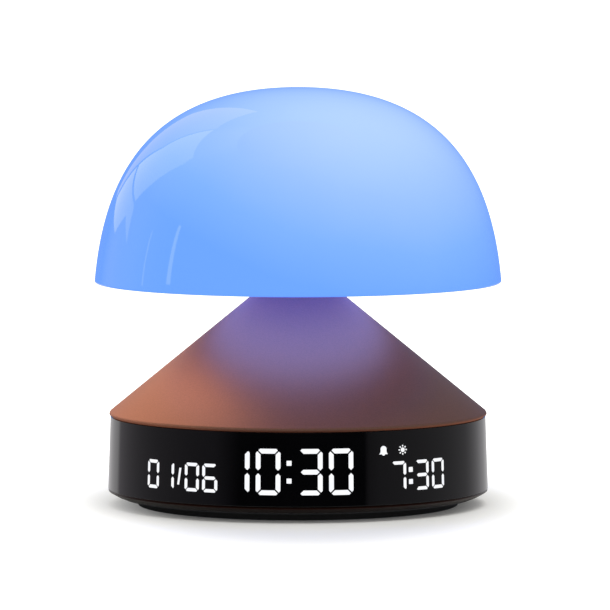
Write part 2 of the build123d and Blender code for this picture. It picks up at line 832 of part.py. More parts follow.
slash = outline((-slash_lean / 2 - slash_width / 2, -slash_height / 2),
                (-slash_lean / 2 + slash_width / 2, -slash_height / 2),
                (slash_lean / 2 + slash_width / 2, slash_height / 2),
                (slash_lean / 2 - slash_width / 2, slash_height / 2))
date_digits = inlay(
    pair_of_digits(date_angle - date_pair_offset, date_pitch, date_z, "01", date_size)
    + pair_of_digits(date_angle + date_pair_offset, date_pitch, date_z, "06", date_size)
    + [(date_angle, date_z, slash)]
)
date_digits.label = "date_digits"
export_step(date_digits, "parts/date_digits.step")

alarm_digits = inlay(
    [(alarm_angle - alarm_offset, alarm_z, part) for part in seven_segments("7", *alarm_size)]
    + pair_of_digits(alarm_angle + alarm_offset + alarm_pitch / 2, alarm_pitch, alarm_z, "30", alarm_size)
    + [(alarm_angle, alarm_z, dots(alarm_dot, alarm_dot_spread))]
)
alarm_digits.label = "alarm_digits"
export_step(alarm_digits, "parts/alarm_digits.step")

alarm_icons = inlay([(bell_angle, icon_z, bell(icon_size)), (sun_angle, icon_z, sun(icon_size))])
alarm_icons.label = "alarm_icons"
export_step(alarm_icons, "parts/alarm_icons.step")

band_points = [
    (band_inner_radius, band_bottom_z),
    (band_bottom_radius, band_bottom_z),
    (band_top_radius, band_top_z - band_edge_chamfer),
    (band_top_radius - band_edge_chamfer, band_top_z),
    (band_inner_radius, band_top_z),
]

with BuildPart() as display_band:
    with BuildSketch(upright_plane(rear_start + rear_opening + seam_angle)):
        add(outline(*band_points))
    revolve(axis=Axis.Z, revolution_arc=360 - rear_opening - 2 * seam_angle)
    for lit in (time_digits, date_digits, alarm_digits, alarm_icons):
        add(lit, mode=Mode.SUBTRACT)
display_band.part.label = "display_band"
export_step(display_band.part, "parts/display_band.step")

# --- Behind the display ----------------------------------------------------------------------

digit_groups = [
    (date_angle, date_pair_offset + date_pitch / 2 + degrees(date_width / 2 / band_inner_radius)),
    (time_angle, time_pair_offset + time_pitch / 2 + degrees(time_width / 2 / band_inner_radius)),
    (alarm_angle + alarm_pitch / 2, alarm_offset + alarm_pitch / 2
     + degrees(alarm_width / 2 / band_inner_radius)),
]

with BuildPart() as display_housing:
    with BuildSketch(Plane.XY.offset(band_bottom_z)):
        add(ring_sector(board_back_radius, deck_radius, -display_span / 2, display_span))
    extrude(amount=deck_bottom_z - band_bottom_z)
    with BuildSketch(Plane.XY.offset(band_bottom_z + display_window_margin)):
        for middle, half in digit_groups:
            add(ring_sector(board_back_radius - 1, deck_radius + 1, middle - half, 2 * half))
    extrude(amount=deck_bottom_z - band_bottom_z - 2 * display_window_margin, mode=Mode.SUBTRACT)
display_housing.part.label = "display_housing"
export_step(display_housing.part, "parts/display_housing.step")

with BuildPart() as display_board:
    with BuildSketch(Plane.XY.offset(band_bottom_z)):
        add(ring_sector(board_back_radius - display_board_thickness, board_back_radius,
                        -display_span / 2, display_span))
    extrude(amount=deck_bottom_z - band_bottom_z)
display_board.part.label = "display_board"
export_step(display_board.part, "parts/display_board.step")

led_angles = [(angle, time_z, time_height / 4) for angle in (
    time_angle - time_pair_offset - time_pitch / 2, time_angle - time_pair_offset + time_pitch / 2,
    time_angle,
    time_angle + time_pair_offset - time_pitch / 2, time_angle + time_pair_offset + time_pitch / 2)]
led_angles += [(angle, date_z, date_height / 4) for angle in (
    date_angle - date_pair_offset - date_pitch / 2, date_angle - date_pair_offset + date_pitch / 2,
    date_angle,
    date_angle + date_pair_offset - date_pitch / 2, date_angle + date_pair_offset + date_pitch / 2)]
led_angles += [(angle, alarm_z, alarm_height / 4) for angle in (
    alarm_angle - alarm_offset, alarm_angle, alarm_angle + alarm_offset,
    alarm_angle + alarm_offset + alarm_pitch)]

with BuildPart() as display_leds:
    for angle, z, rise in led_angles:
        for level in (z - rise, z + rise):
            with BuildSketch(facing_plane(angle, board_back_radius, level)):
                Rectangle(display_led_width, display_led_width * 0.6)
            extrude(amount=display_led_height)
display_leds.part.label = "display_leds"
export_step(display_leds.part, "parts/display_leds.step")

# --- Rear panel, buttons and slider ----------------------------------------------------------

rear = Plane(origin=(0, 0, 0), x_dir=(-1, 0, 0), z_dir=(0, 1, 0))   # X to the right from behind, Y up
button_xs = [(2 - index) * button_pitch for index in range(len(button_names))]

with BuildPart() as rear_panel:
    with BuildSketch(rear.offset(guide_end_y)):
        with Locations(*[(-x, button_z) for x in button_xs]):
            Circle(button_radius + slide_gap + guide_wall)
    extrude(amount=band_bottom_radius - guide_end_y)
    with BuildSketch(facing_plane(slider_angle, switch_seat, slot_z)):
        with Locations((-switch_screw_offset, 0), (switch_screw_offset, 0)):
            Circle(switch_post_radius)
    extrude(amount=band_bottom_radius - switch_seat)
    add(band_envelope.part, mode=Mode.INTERSECT)
    with BuildSketch(upright_plane(rear_start + seam_angle)):
        add(outline(*band_points))
    revolve(axis=Axis.Z, revolution_arc=rear_opening - 2 * seam_angle)
    with BuildSketch(rear.offset(guide_end_y)):
        with Locations(*[(-x, button_z) for x in button_xs]):
            Circle(button_radius + slide_gap)
    extrude(amount=band_bottom_radius - guide_end_y + 1, mode=Mode.SUBTRACT)
    with BuildSketch(facing_plane(slider_angle, slider_plate_front, slot_z)):
        RectangleRounded(slider_knob_width + 2 * slide_gap, slot_height, small_part_round)
    extrude(amount=band_bottom_radius - slider_plate_front + 1, mode=Mode.SUBTRACT)
    with BuildSketch(facing_plane(slider_angle, switch_seat, slot_z)):
        with Locations((-switch_screw_offset, 0), (switch_screw_offset, 0)):
            Circle(pilot_radius)
    extrude(amount=small_screw_length - switch_plate_thickness, mode=Mode.SUBTRACT)
    with BuildSketch(rear.offset(inlet_face_y)):
        with Locations((0, inlet_z)):
            SlotOverall(plug_recess_width, plug_recess_height)
    extrude(amount=band_bottom_radius - inlet_face_y + 1, mode=Mode.SUBTRACT)
    with BuildSketch(rear.offset(power_board_end_y)):
        with Locations((0, inlet_z)):
            SlotOverall(inlet_width + 2 * inlet_clearance, inlet_height + 2 * inlet_clearance)
    extrude(amount=inlet_face_y - power_board_end_y, mode=Mode.SUBTRACT)
rear_panel.part.label = "rear_panel"
export_step(rear_panel.part, "parts/rear_panel.step")

with BuildPart() as button_envelope:
    with BuildSketch(Plane.XZ):
        add(outline((0, band_bottom_z), (band_bottom_radius + button_proud, band_bottom_z),
                    (band_top_radius + button_proud, band_top_z), (0, band_top_z)))
    revolve(axis=Axis.Z)

for name, x in zip(button_names, button_xs):
    with BuildPart() as button:
        with BuildSketch(rear.offset(flange_y)):
            with Locations((-x, button_z)):
                Circle(button_radius)
        extrude(amount=band_bottom_radius + button_proud - flange_y)
        add(button_envelope.part, mode=Mode.INTERSECT)
        fillet(button.faces().sort_by(Axis.Y)[-1].edges(), button_proud * 0.6)
        with BuildSketch(rear.offset(flange_y)):
            with Locations((-x, button_z)):
                Circle(button_flange_radius)
        extrude(amount=button_flange_thickness)
    button.part.label = "button_" + name
    export_step(button.part, "parts/button_" + name + ".step")

with BuildPart() as button_board:
    with BuildSketch(rear.offset(lug_y)):
        with Locations((0, (button_board_bottom_z + button_board_top_z) / 2)):
            Rectangle(2 * button_board_half_length, button_board_top_z - button_board_bottom_z)
        with Locations((-lug_x, button_z), (lug_x, button_z)):
            Circle(pilot_radius, mode=Mode.SUBTRACT)
    extrude(amount=board_thickness)
button_board.part.label = "button_board"
export_step(button_board.part, "parts/button_board.step")

with BuildPart() as button_switches:
    for x in button_xs:
        with Locations(Plane(origin=(x, button_board_y, button_z), x_dir=(-1, 0, 0), z_dir=(0, 1, 0))):
            add(tact_switch(tact_height, plunger_height))
button_switches.part.label = "button_switches"
export_step(button_switches.part, "parts/button_switches.step")

with BuildPart() as button_board_screws:
    for x in (-lug_x, lug_x):
        with Locations(Plane(origin=(x, button_board_y, button_z), x_dir=(-1, 0, 0), z_dir=(0, 1, 0))):
            add(screw(small_screw, small_screw_length))
button_board_screws.part.label = "button_board_screws"
export_step(button_board_screws.part, "parts/button_board_screws.step")

with BuildPart() as alarm_slider:
    with BuildSketch(facing_plane(slider_angle, slider_plate_back, slider_low_z)):
        RectangleRounded(slider_knob_width, slider_knob_height, small_part_round)
    extrude(amount=band_bottom_radius + slider_proud - slider_plate_back)
    for rib in (-1, 0, 1):
        with BuildSketch(facing_plane(slider_angle, band_bottom_radius + slider_proud, slider_low_z)):
            with Locations((0, rib * slider_knob_height / 3.5)):
                Rectangle(slider_knob_width, slider_knob_height / 12)
        extrude(amount=-slider_proud / 3, mode=Mode.SUBTRACT)
    with BuildSketch(facing_plane(slider_angle, slider_plate_back, slider_low_z)):
        RectangleRounded(slider_plate_width, slider_plate_height, small_part_round)
    extrude(amount=slider_plate_thickness)
    with BuildSketch(facing_plane(slider_angle, slider_plate_back, slider_low_z)):
        Rectangle(slider_peg, slider_peg)
    extrude(amount=-slider_peg_depth)
alarm_slider.part.label = "alarm_slider"
export_step(alarm_slider.part, "parts/alarm_slider.step")

with BuildPart() as slide_switch:
    with BuildSketch(facing_plane(slider_angle, switch_seat, slot_z)):
        Rectangle(switch_plate_width, switch_body_height * 0.5)
    extrude(amount=-switch_plate_thickness)
    with BuildSketch(facing_plane(slider_angle, switch_front, slot_z)):
        Rectangle(switch_body_width, switch_body_height)
    extrude(amount=-switch_body_depth)
    with BuildSketch(facing_plane(slider_angle, switch_front, slot_z)):
        Rectangle(slider_peg + 2 * slide_gap, slider_peg + slider_travel + 2 * slide_gap)
    extrude(amount=-slider_peg_depth - slide_gap, mode=Mode.SUBTRACT)
    with BuildSketch(facing_plane(slider_angle, switch_seat, slot_z)):
        with Locations((-switch_screw_offset, 0), (switch_screw_offset, 0)):
            Circle(pilot_radius)
    extrude(amount=-switch_plate_thickness, mode=Mode.SUBTRACT)
slide_switch.part.label = "slide_switch"
export_step(slide_switch.part, "parts/slide_switch.step")

with BuildPart() as slide_switch_screws:
    seat = facing_plane(slider_angle, switch_seat - switch_plate_thickness, slot_z)
    for side in (-1, 1):
        place = Plane(seat.origin + seat.x_dir * side * switch_screw_offset, seat.x_dir, -seat.z_dir)
        with Locations(place):
            add(screw(small_screw, small_screw_length))
slide_switch_screws.part.label = "slide_switch_screws"
export_step(slide_switch_screws.part, "parts/slide_switch_screws.step")

# --- Power inlet -----------------------------------------------------------------------------

with BuildPart() as usb_shell:
    with BuildSketch(rear.offset(inlet_face_y)):
        with Locations((0, inlet_z)):
            SlotOverall(inlet_width, inlet_height)
            SlotOverall(inlet_width - 2 * inlet_wall, inlet_height - 2 * inlet_wall, mode=Mode.SUBTRACT)
    extrude(amount=-inlet_depth)
usb_shell.part.label = "usb_shell"
export_step(usb_shell.part, "parts/usb_shell.step")

with BuildPart() as usb_tongue:
    with BuildSketch(rear.offset(inlet_face_y - inlet_depth)):
        with Locations((0, inlet_z)):
            SlotOverall(inlet_width - 2 * inlet_wall, inlet_height - 2 * inlet_wall)
    extrude(amount=inlet_base_length)
    with BuildSketch(rear.offset(inlet_face_y - inlet_depth + inlet_base_length)):
        with Locations((0, inlet_z)):
            Rectangle(tongue_width, tongue_thickness)
    extrude(amount=tongue_length - slide_gap)
usb_tongue.part.label = "usb_tongue"
export_step(usb_tongue.part, "parts/usb_tongue.step")

with BuildPart() as power_board:
    with BuildSketch(Plane.XY.offset(power_board_bottom_z)):
        with Locations((0, (power_board_start_y + power_board_end_y) / 2)):
            Rectangle(2 * power_board_half_width, power_board_end_y - power_board_start_y)
        with Locations((-power_post_x, power_post_y), (power_post_x, power_post_y)):
            Circle(pilot_radius, mode=Mode.SUBTRACT)
    extrude(amount=power_board_thickness)
power_board.part.label = "power_board"
export_step(power_board.part, "parts/power_board.step")

with BuildPart() as power_board_screws:
    for x in (-power_post_x, power_post_x):
        with Locations(Plane((x, power_post_y, inlet_board_top_z))):
            add(screw(small_screw, small_screw_length))
power_board_screws.part.label = "power_board_screws"
export_step(power_board_screws.part, "parts/power_board_screws.step")

# --- Chassis and main board ------------------------------------------------------------------

with BuildPart() as chassis:
    with BuildSketch(Plane.XY.offset(deck_bottom_z)):
        Circle(deck_radius)
    extrude(amount=deck_thickness)
    with BuildSketch(Plane.XY.offset(band_bottom_z)):
        for start in (skirt_start, -skirt_end):
            add(ring_sector(skirt_inner_radius, deck_radius, start, skirt_end - skirt_start))
    extrude(amount=deck_bottom_z - band_bottom_z)
    with BuildSketch(Plane.XY.offset(cover_top_z)):
        for angle in post_angles:
            with Locations(outward(angle) * post_circle_radius):
                Circle(post_radius)
    extrude(amount=deck_bottom_z - cover_top_z)
    with BuildSketch(Plane.XY.offset(main_board_top_z)):
        with GridLocations(2 * main_screw_x, 2 * main_screw_y, 2, 2):
            Circle(pilot_radius * 2.6)
    extrude(amount=main_board_drop)
    with BuildSketch(Plane.XY.offset(button_board_bottom_z)):
        for x in (-lug_x, lug_x):
            with Locations((x, lug_y - lug_depth / 2)):
                Rectangle(lug_width, lug_depth)
    extrude(amount=deck_bottom_z - button_board_bottom_z)
    with BuildSketch(Plane.XY.offset(cover_top_z)):
        for angle in post_angles:
            with Locations(outward(angle) * post_circle_radius):
                Circle(post_pilot_radius)
    extrude(amount=cover_screw_length, mode=Mode.SUBTRACT)
    with BuildSketch(Plane.XY.offset(main_board_top_z)):
        with GridLocations(2 * main_screw_x, 2 * main_screw_y, 2, 2):
            Circle(pilot_radius)
    extrude(amount=small_screw_length - board_thickness, mode=Mode.SUBTRACT)
    with BuildSketch(rear.offset(lug_y)):
        with Locations((-lug_x, button_z), (lug_x, button_z)):
            Circle(pilot_radius)
    extrude(amount=board_thickness - small_screw_length, mode=Mode.SUBTRACT)
    with BuildSketch(Plane.XY.offset(deck_bottom_z)):
        Circle(stem_bore_radius)
        with Locations(*[tuple(plane.origin)[:2] for plane in stem_screw_planes]):
            Circle(post_pilot_radius)
        for angle in cone_boss_angles:
            with Locations(outward(angle) * cone_boss_circle_radius):
                Circle(post_pilot_radius)
    extrude(amount=deck_thickness, mode=Mode.SUBTRACT)
chassis.part.label = "chassis"
export_step(chassis.part, "parts/chassis.step")

with BuildPart() as main_board:
    with BuildSketch(Plane.XY.offset(main_board_bottom_z)):
        RectangleRounded(main_board_length, main_board_width, board_thickness)
        with GridLocations(2 * main_screw_x, 2 * main_screw_y, 2, 2):
            Circle(pilot_radius, mode=Mode.SUBTRACT)
    extrude(amount=board_thickness)
main_board.part.label = "main_board"
export_step(main_board.part, "parts/main_board.step")

with BuildPart() as main_board_screws:
    for x in (-main_screw_x, main_screw_x):
        for y in (-main_screw_y, main_screw_y):
            with Locations(flip(Plane((x, y, main_board_bottom_z)))):
                add(screw(small_screw, small_screw_length))
main_board_screws.part.label = "main_board_screws"
export_step(main_board_screws.part, "parts/main_board_screws.step")

with BuildPart() as main_chips:
    with BuildSketch(Plane.XY.offset(main_board_bottom_z)):
        for x, y, length, width in chip_places:
            with Locations((x, y)):
                Rectangle(length, width)
    extrude(amount=-chip_height)
    with BuildSketch(Plane.XY.offset(main_board_bottom_z)):
        with Locations(*capacitor_places):
            Circle(capacitor_radius)
    extrude(amount=-capacitor_height)
main_chips.part.label = "main_chips"
export_step(main_chips.part, "parts/main_chips.step")

# --- Speaker ---------------------------------------------------------------------------------

speaker_screw_spots = [outward(a) * (speaker_flange_radius - speaker_screw_margin)
                       for a in (30, 150, 270)]

with BuildPart() as speaker_frame:
    with BuildSketch(Plane.XZ):
        add(outline(
            (speaker_basket_radius - speaker_basket_wall, cover_top_z),
            (speaker_flange_radius, cover_top_z),
            (speaker_flange_radius, speaker_top_z),
            (speaker_basket_radius, speaker_top_z),
            (speaker_magnet_radius, basket_top_z),
            (speaker_magnet_radius, basket_top_z + speaker_basket_wall),
            (0, basket_top_z + speaker_basket_wall),
            (0, basket_top_z),
            (speaker_magnet_radius - speaker_basket_wall, basket_top_z),
            (speaker_basket_radius - speaker_basket_wall, speaker_top_z),
        ))
    revolve(axis=Axis.Z)
    with BuildSketch(Plane.XY.offset(cover_top_z)):
        with Locations(*speaker_screw_spots):
            Circle(pilot_radius)
    extrude(amount=speaker_flange_thickness, mode=Mode.SUBTRACT)
speaker_frame.part.label = "speaker_frame"
export_step(speaker_frame.part, "parts/speaker_frame.step")

with BuildPart() as speaker_magnet:
    with BuildSketch(Plane.XY.offset(magnet_bottom_z)):
        Circle(speaker_magnet_radius)
    extrude(amount=speaker_magnet_height)
speaker_magnet.part.label = "speaker_magnet"
export_step(speaker_magnet.part, "parts/speaker_magnet.step")

cone_edge = speaker_basket_radius - speaker_basket_wall
cone_top_z = speaker_top_z + speaker_basket_height / 2
with BuildPart() as speaker_cone:
    with BuildSketch(Plane.XZ):
        add(outline(
            (cone_edge, cover_top_z + speaker_cone_lift),
            (cone_edge, speaker_top_z),
            (cone_edge - speaker_cone_rim, speaker_top_z),
            (cone_edge * 0.35, cone_top_z),
            (0, cone_top_z),
            (0, cone_top_z - speaker_cone_thickness),
            (cone_edge * 0.32, cone_top_z - speaker_cone_thickness),
            (cone_edge - speaker_cone_rim, cover_top_z + speaker_cone_lift),
        ))
    revolve(axis=Axis.Z)
speaker_cone.part.label = "speaker_cone"
export_step(speaker_cone.part, "parts/speaker_cone.step")

with BuildPart() as speaker_screws:
    for place in speaker_screw_spots:
        with Locations(Plane(place + Vector(0, 0, speaker_top_z))):
            add(screw(small_screw, speaker_flange_thickness + speaker_pilot_depth))
speaker_screws.part.label = "speaker_screws"
export_step(speaker_screws.part, "parts/speaker_screws.step")

# --- Base ring, cover, foot, cell and cap ----------------------------------------------------

with BuildPart() as base_ring:
    with BuildSketch(Plane.XZ):
        add(outline(
            (base_ring_inner_radius, band_bottom_z),
            (base_ring_radius, band_bottom_z),
            (base_ring_radius, band_bottom_z - base_ring_lip),
            (base_ring_bottom_radius, base_ring_bottom_z),
            (cover_radius + cover_gap, base_ring_bottom_z),
            (cover_radius + cover_gap, cover_rim_top_z),
            (base_ring_inner_radius, cover_rim_top_z),
        ))
    revolve(axis=Axis.Z)
base_ring.part.label = "base_ring"
export_step(base_ring.part, "parts/base_ring.step")


def cap_lugs(radius, span, turn):
    """Two opposite sectors round the cap's axis."""
    with BuildSketch() as pair:
        for start in (turn - span / 2, turn + 180 - span / 2):
            add(ring_sector(cap_radius - 1, radius, start, span))
    return Location(cap_spot) * pair.sketch


with BuildPart() as bottom_cover:
    with BuildSketch(Plane.XY.offset(cover_bottom_z)):
        Circle(cover_radius)
    extrude(amount=cover_rim_thickness)
    with BuildSketch(Plane.XY.offset(cover_bottom_z)):
        Circle(base_ring_inner_radius - cover_gap)
    extrude(amount=cover_thickness)
    with BuildSketch(Plane.XY.offset(cover_top_z)):
        with Locations((-power_post_x, power_post_y), (power_post_x, power_post_y)):
            Circle(power_post_radius)
    extrude(amount=power_board_bottom_z - cover_top_z)
    with BuildSketch(Plane.XY.offset(cover_bottom_z)):
        Circle(foot_outer_radius)
        Circle(foot_inner_radius, mode=Mode.SUBTRACT)
    extrude(amount=foot_groove_depth, mode=Mode.SUBTRACT)
    with BuildSketch(Plane.XY.offset(cover_bottom_z)):
        Circle(grille_hole_radius)
        for ring in range(1, grille_rings + 1):
            with PolarLocations(ring * grille_pitch, 6 * ring):
                Circle(grille_hole_radius)
        for angle in post_angles:
            with Locations(outward(angle) * post_circle_radius):
                Circle(post_pilot_radius)
        with Locations(cap_spot):
            Circle(cap_radius + cap_gap)
        add(cap_lugs(cap_lug_radius + cap_gap, cap_lug_span + 2 * cap_entry_margin, -cap_turn))
    extrude(amount=cover_thickness, mode=Mode.SUBTRACT)
    with BuildSketch(Plane.XY.offset(cover_bottom_z)):
        for angle in post_angles:
            with Locations(outward(angle) * post_circle_radius):
                Circle(large_screw[0] + head_clearance)
    extrude(amount=large_screw[1] + head_clearance, mode=Mode.SUBTRACT)
    with BuildSketch(Plane.XY.offset(power_board_bottom_z)):
        with Locations((-power_post_x, power_post_y), (power_post_x, power_post_y)):
            Circle(pilot_radius)
    extrude(amount=power_board_thickness - small_screw_length, mode=Mode.SUBTRACT)
    with BuildSketch(Plane.XY.offset(cover_top_z)):
        with Locations(*speaker_screw_spots):
            Circle(pilot_radius)
    extrude(amount=-speaker_pilot_depth, mode=Mode.SUBTRACT)
bottom_cover.part.label = "bottom_cover"
export_step(bottom_cover.part, "parts/bottom_cover.step")

with BuildPart() as cover_screws:
    for angle in post_angles:
        place = Plane(spot(angle, post_circle_radius, cover_bottom_z + large_screw[1] + head_clearance))
        with Locations(flip(place)):
            add(screw(large_screw, cover_screw_length))
cover_screws.part.label = "cover_screws"
export_step(cover_screws.part, "parts/cover_screws.step")

with BuildPart() as foot_ring:
    with BuildSketch():
        Circle(foot_outer_radius)
        Circle(foot_inner_radius, mode=Mode.SUBTRACT)
    extrude(amount=cover_bottom_z + foot_groove_depth)
    with BuildSketch():
        for angle in foot_notch_angles:
            add(ring_sector(foot_inner_radius - 1, foot_outer_radius + 1,
                            angle - foot_notch_width / 2, foot_notch_width))
    extrude(amount=foot_notch_depth, mode=Mode.SUBTRACT)
foot_ring.part.label = "foot_ring"
export_step(foot_ring.part, "parts/foot_ring.step")

with BuildPart() as battery_cap:
    with BuildSketch(Plane.XY.offset(cover_bottom_z)):
        with Locations(cap_spot):
            Circle(cap_radius)
    extrude(amount=cap_top_z - cover_bottom_z)
    with BuildSketch(Plane.XY.offset(cap_top_z - cap_lug_thickness)):
        add(cap_lugs(cap_lug_radius, cap_lug_span, 0))
    extrude(amount=cap_lug_thickness)
    with BuildSketch(Plane.XY.offset(cover_bottom_z)):
        with Locations(cap_spot):
            SlotOverall(cap_radius * 1.5, cap_coin_slot)
    extrude(amount=cover_thickness * 0.5, mode=Mode.SUBTRACT)
battery_cap.part.label = "battery_cap"
export_step(battery_cap.part, "parts/battery_cap.step")

with BuildPart() as coin_cell:
    with BuildSketch(Plane.XY.offset(cell_bottom_z)):
        with Locations(cap_spot):
            Circle(cell_radius)
    extrude(amount=cell_height)
coin_cell.part.label = "coin_cell"
export_step(coin_cell.part, "parts/coin_cell.step")

with BuildPart() as cell_contact:
    with BuildSketch(Plane.XY.offset(cell_top_z)):
        with Locations(cap_spot):
            Circle(contact_radius)
    extrude(amount=contact_thickness)
cell_contact.part.label = "cell_contact"
export_step(cell_contact.part, "parts/cell_contact.step")

with BuildPart() as cell_holder:
    with BuildSketch(Plane.XY.offset(cover_top_z)):
        with Locations(cap_spot):
            Circle(holder_radius)
    extrude(amount=holder_top_z - cover_top_z)
    with BuildSketch(Plane.XY.offset(cover_top_z)):
        with Locations(cap_spot):
            Circle(cap_lug_radius + cap_gap)
    extrude(amount=cell_bottom_z - cover_top_z, mode=Mode.SUBTRACT)
    with BuildSketch(Plane.XY.offset(cover_top_z)):
        with Locations(cap_spot):
            Circle(cell_radius)
    extrude(amount=cell_top_z + contact_thickness - cover_top_z, mode=Mode.SUBTRACT)
cell_holder.part.label = "cell_holder"
export_step(cell_holder.part, "parts/cell_holder.step")
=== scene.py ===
import json
import math

import bmesh
import bpy
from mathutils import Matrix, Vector
from mathutils.geometry import interpolate_bezier

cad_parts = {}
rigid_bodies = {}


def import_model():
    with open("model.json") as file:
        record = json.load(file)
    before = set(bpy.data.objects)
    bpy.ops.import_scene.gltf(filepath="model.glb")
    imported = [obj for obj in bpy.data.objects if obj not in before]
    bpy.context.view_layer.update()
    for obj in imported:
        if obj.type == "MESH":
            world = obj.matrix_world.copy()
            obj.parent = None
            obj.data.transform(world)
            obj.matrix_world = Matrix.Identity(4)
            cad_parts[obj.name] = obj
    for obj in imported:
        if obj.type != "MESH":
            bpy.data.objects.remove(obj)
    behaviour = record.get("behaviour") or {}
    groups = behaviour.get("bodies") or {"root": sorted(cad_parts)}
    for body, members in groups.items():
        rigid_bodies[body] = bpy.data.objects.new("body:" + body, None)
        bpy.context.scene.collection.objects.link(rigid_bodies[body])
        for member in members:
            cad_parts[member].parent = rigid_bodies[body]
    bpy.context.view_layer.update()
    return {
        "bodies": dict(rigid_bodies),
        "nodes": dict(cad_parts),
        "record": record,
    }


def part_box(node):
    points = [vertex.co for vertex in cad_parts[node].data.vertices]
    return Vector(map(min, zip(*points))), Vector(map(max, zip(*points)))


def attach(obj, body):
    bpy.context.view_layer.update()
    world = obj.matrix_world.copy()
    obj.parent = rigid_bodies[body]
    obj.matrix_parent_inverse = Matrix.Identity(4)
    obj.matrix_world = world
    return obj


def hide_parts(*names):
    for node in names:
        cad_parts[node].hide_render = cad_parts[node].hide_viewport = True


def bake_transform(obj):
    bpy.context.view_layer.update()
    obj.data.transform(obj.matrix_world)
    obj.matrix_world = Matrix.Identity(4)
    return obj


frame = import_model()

# Sunrise alarm clock: opal dome over a copper cone, on a round black base with a lit display.
# The clock's dictionaries are in millimetres and the studio's in metres. Angles are degrees from the
# front towards +X
scene = bpy.context.scene
scene.view_settings.view_transform = "Standard"


def linear(hexColour):
    channels = [int(hexColour[i:i + 2], 16) / 255 for i in (1, 3, 5)]
    return [c / 12.92 if c <= 0.04045 else ((c + 0.055) / 1.055) ** 2.4 for c in channels] + [1]


def outward(angle, elevation=0):
    a, e = math.radians(angle), math.radians(elevation)
    return Vector((math.sin(a) * math.cos(e), -math.cos(a) * math.cos(e), math.sin(e)))


def addNode(tree, kind, settings=None, links=None):
    node = tree.nodes.new(kind)
    for name, value in (settings or {}).items():
        if isinstance(name, int) or name in node.inputs:
            node.inputs[name].default_value = linear(value) if isinstance(value, str) else value
        else:
            setattr(node, name, value)
    for name, source in (links or {}).items():
        tree.links.new(source, node.inputs[name])
    return node


def newMaterial(name, finish):
    material = bpy.data.materials.new(name)
    material.use_nodes = True
    shader = material.node_tree.nodes["Principled BSDF"]
    for socket, value in finish.items():
        shader.inputs[socket].default_value = linear(value) if isinstance(value, str) else value
    return material, material.node_tree, shader


def rampOf(tree, source, stops):
    # colours along a 0 to 1 value, each stop a (place, hex) pair
    ramp = addNode(tree, "ShaderNodeValToRGB", links={"Fac": source})
    while len(ramp.color_ramp.elements) < len(stops):
        ramp.color_ramp.elements.new(0.5)
    for element, (place, colour) in zip(ramp.color_ramp.elements, stops):
        element.position = place
        element.color = linear(colour)
    return ramp.outputs["Color"]


def grain(tree, shader, sizeMm, depthMm, colours=None, roughness=None, detail=3.0):
    # moulded or cast texture: bumps of a real size, with the colour and gloss that go with them
    place = addNode(tree, "ShaderNodeTexCoord")
    noise = addNode(tree, "ShaderNodeTexNoise", {"Scale": 1000 / sizeMm, "Detail": detail},
                    {"Vector": place.outputs["Object"]})
    if depthMm:
        bump = addNode(tree, "ShaderNodeBump", {"Strength": 1.0, "Distance": depthMm / 1000},
                       {"Height": noise.outputs["Fac"]})
        tree.links.new(bump.outputs["Normal"], shader.inputs["Normal"])
    if colours:
        tree.links.new(rampOf(tree, noise.outputs["Fac"], [(0.3, colours[0]), (0.7, colours[1])]),
                       shader.inputs["Base Color"])
    if roughness:
        spread = addNode(tree, "ShaderNodeMapRange", {"To Min": roughness[0], "To Max": roughness[1]},
                         {"Value": noise.outputs["Fac"]})
        tree.links.new(spread.outputs["Result"], shader.inputs["Roughness"])
    return place, noise


# Opal acrylic, injection moulded and polished: a milky body lit from inside, under a deep clear gloss.
# Its glow is painted paler towards the front right of the crown, a painted highlight in the direction
# of the key softbox, and sinks to plain blue towards the rim
opalAcrylic, tree, shader = newMaterial("opalAcrylic", {
    "Base Color": "#56677F", "Roughness": 0.5, "Specular IOR Level": 0.0, "Coat Weight": 1.0,
    "Coat Roughness": 0.03, "Coat IOR": 1.49, "Emission Strength": 2.0})
domeGlowAndPaintedHighlight = {"angle": 40, "elevation": 65, "base": 82, "near": 20, "far": 75, "cloud": 0.03,
            "cloudSize": 22.0}
place, noise = grain(tree, shader, domeGlowAndPaintedHighlight["cloudSize"], 0)
# painted highlight: the glow's share grows along the key softbox's direction, from near to far
fromBase = addNode(tree, "ShaderNodeVectorMath", {
    "operation": "SUBTRACT", 1: (0, 0, domeGlowAndPaintedHighlight["base"] / 1000)}, {0: place.outputs["Object"]})
along = addNode(tree, "ShaderNodeVectorMath", {
    "operation": "DOT_PRODUCT", 1: outward(domeGlowAndPaintedHighlight["angle"], domeGlowAndPaintedHighlight["elevation"])},
    {0: fromBase.outputs["Vector"]})
share = addNode(tree, "ShaderNodeMapRange", {
    "From Min": domeGlowAndPaintedHighlight["near"] / 1000, "From Max": domeGlowAndPaintedHighlight["far"] / 1000},
    {"Value": along.outputs["Value"]})
cloud = addNode(tree, "ShaderNodeMapRange", {"To Min": -domeGlowAndPaintedHighlight["cloud"], "To Max": domeGlowAndPaintedHighlight["cloud"]},
                {"Value": noise.outputs["Fac"]})
clouded = addNode(tree, "ShaderNodeMath", {"operation": "ADD"},
                  {0: share.outputs["Result"], 1: cloud.outputs["Result"]})
tree.links.new(rampOf(tree, clouded.outputs["Value"], [
    (0.15, "#3B6BDA"), (0.43, "#4C75DA"), (0.71, "#6582DC"), (1.0, "#7D92E0")]),
    shader.inputs["Emission Color"])
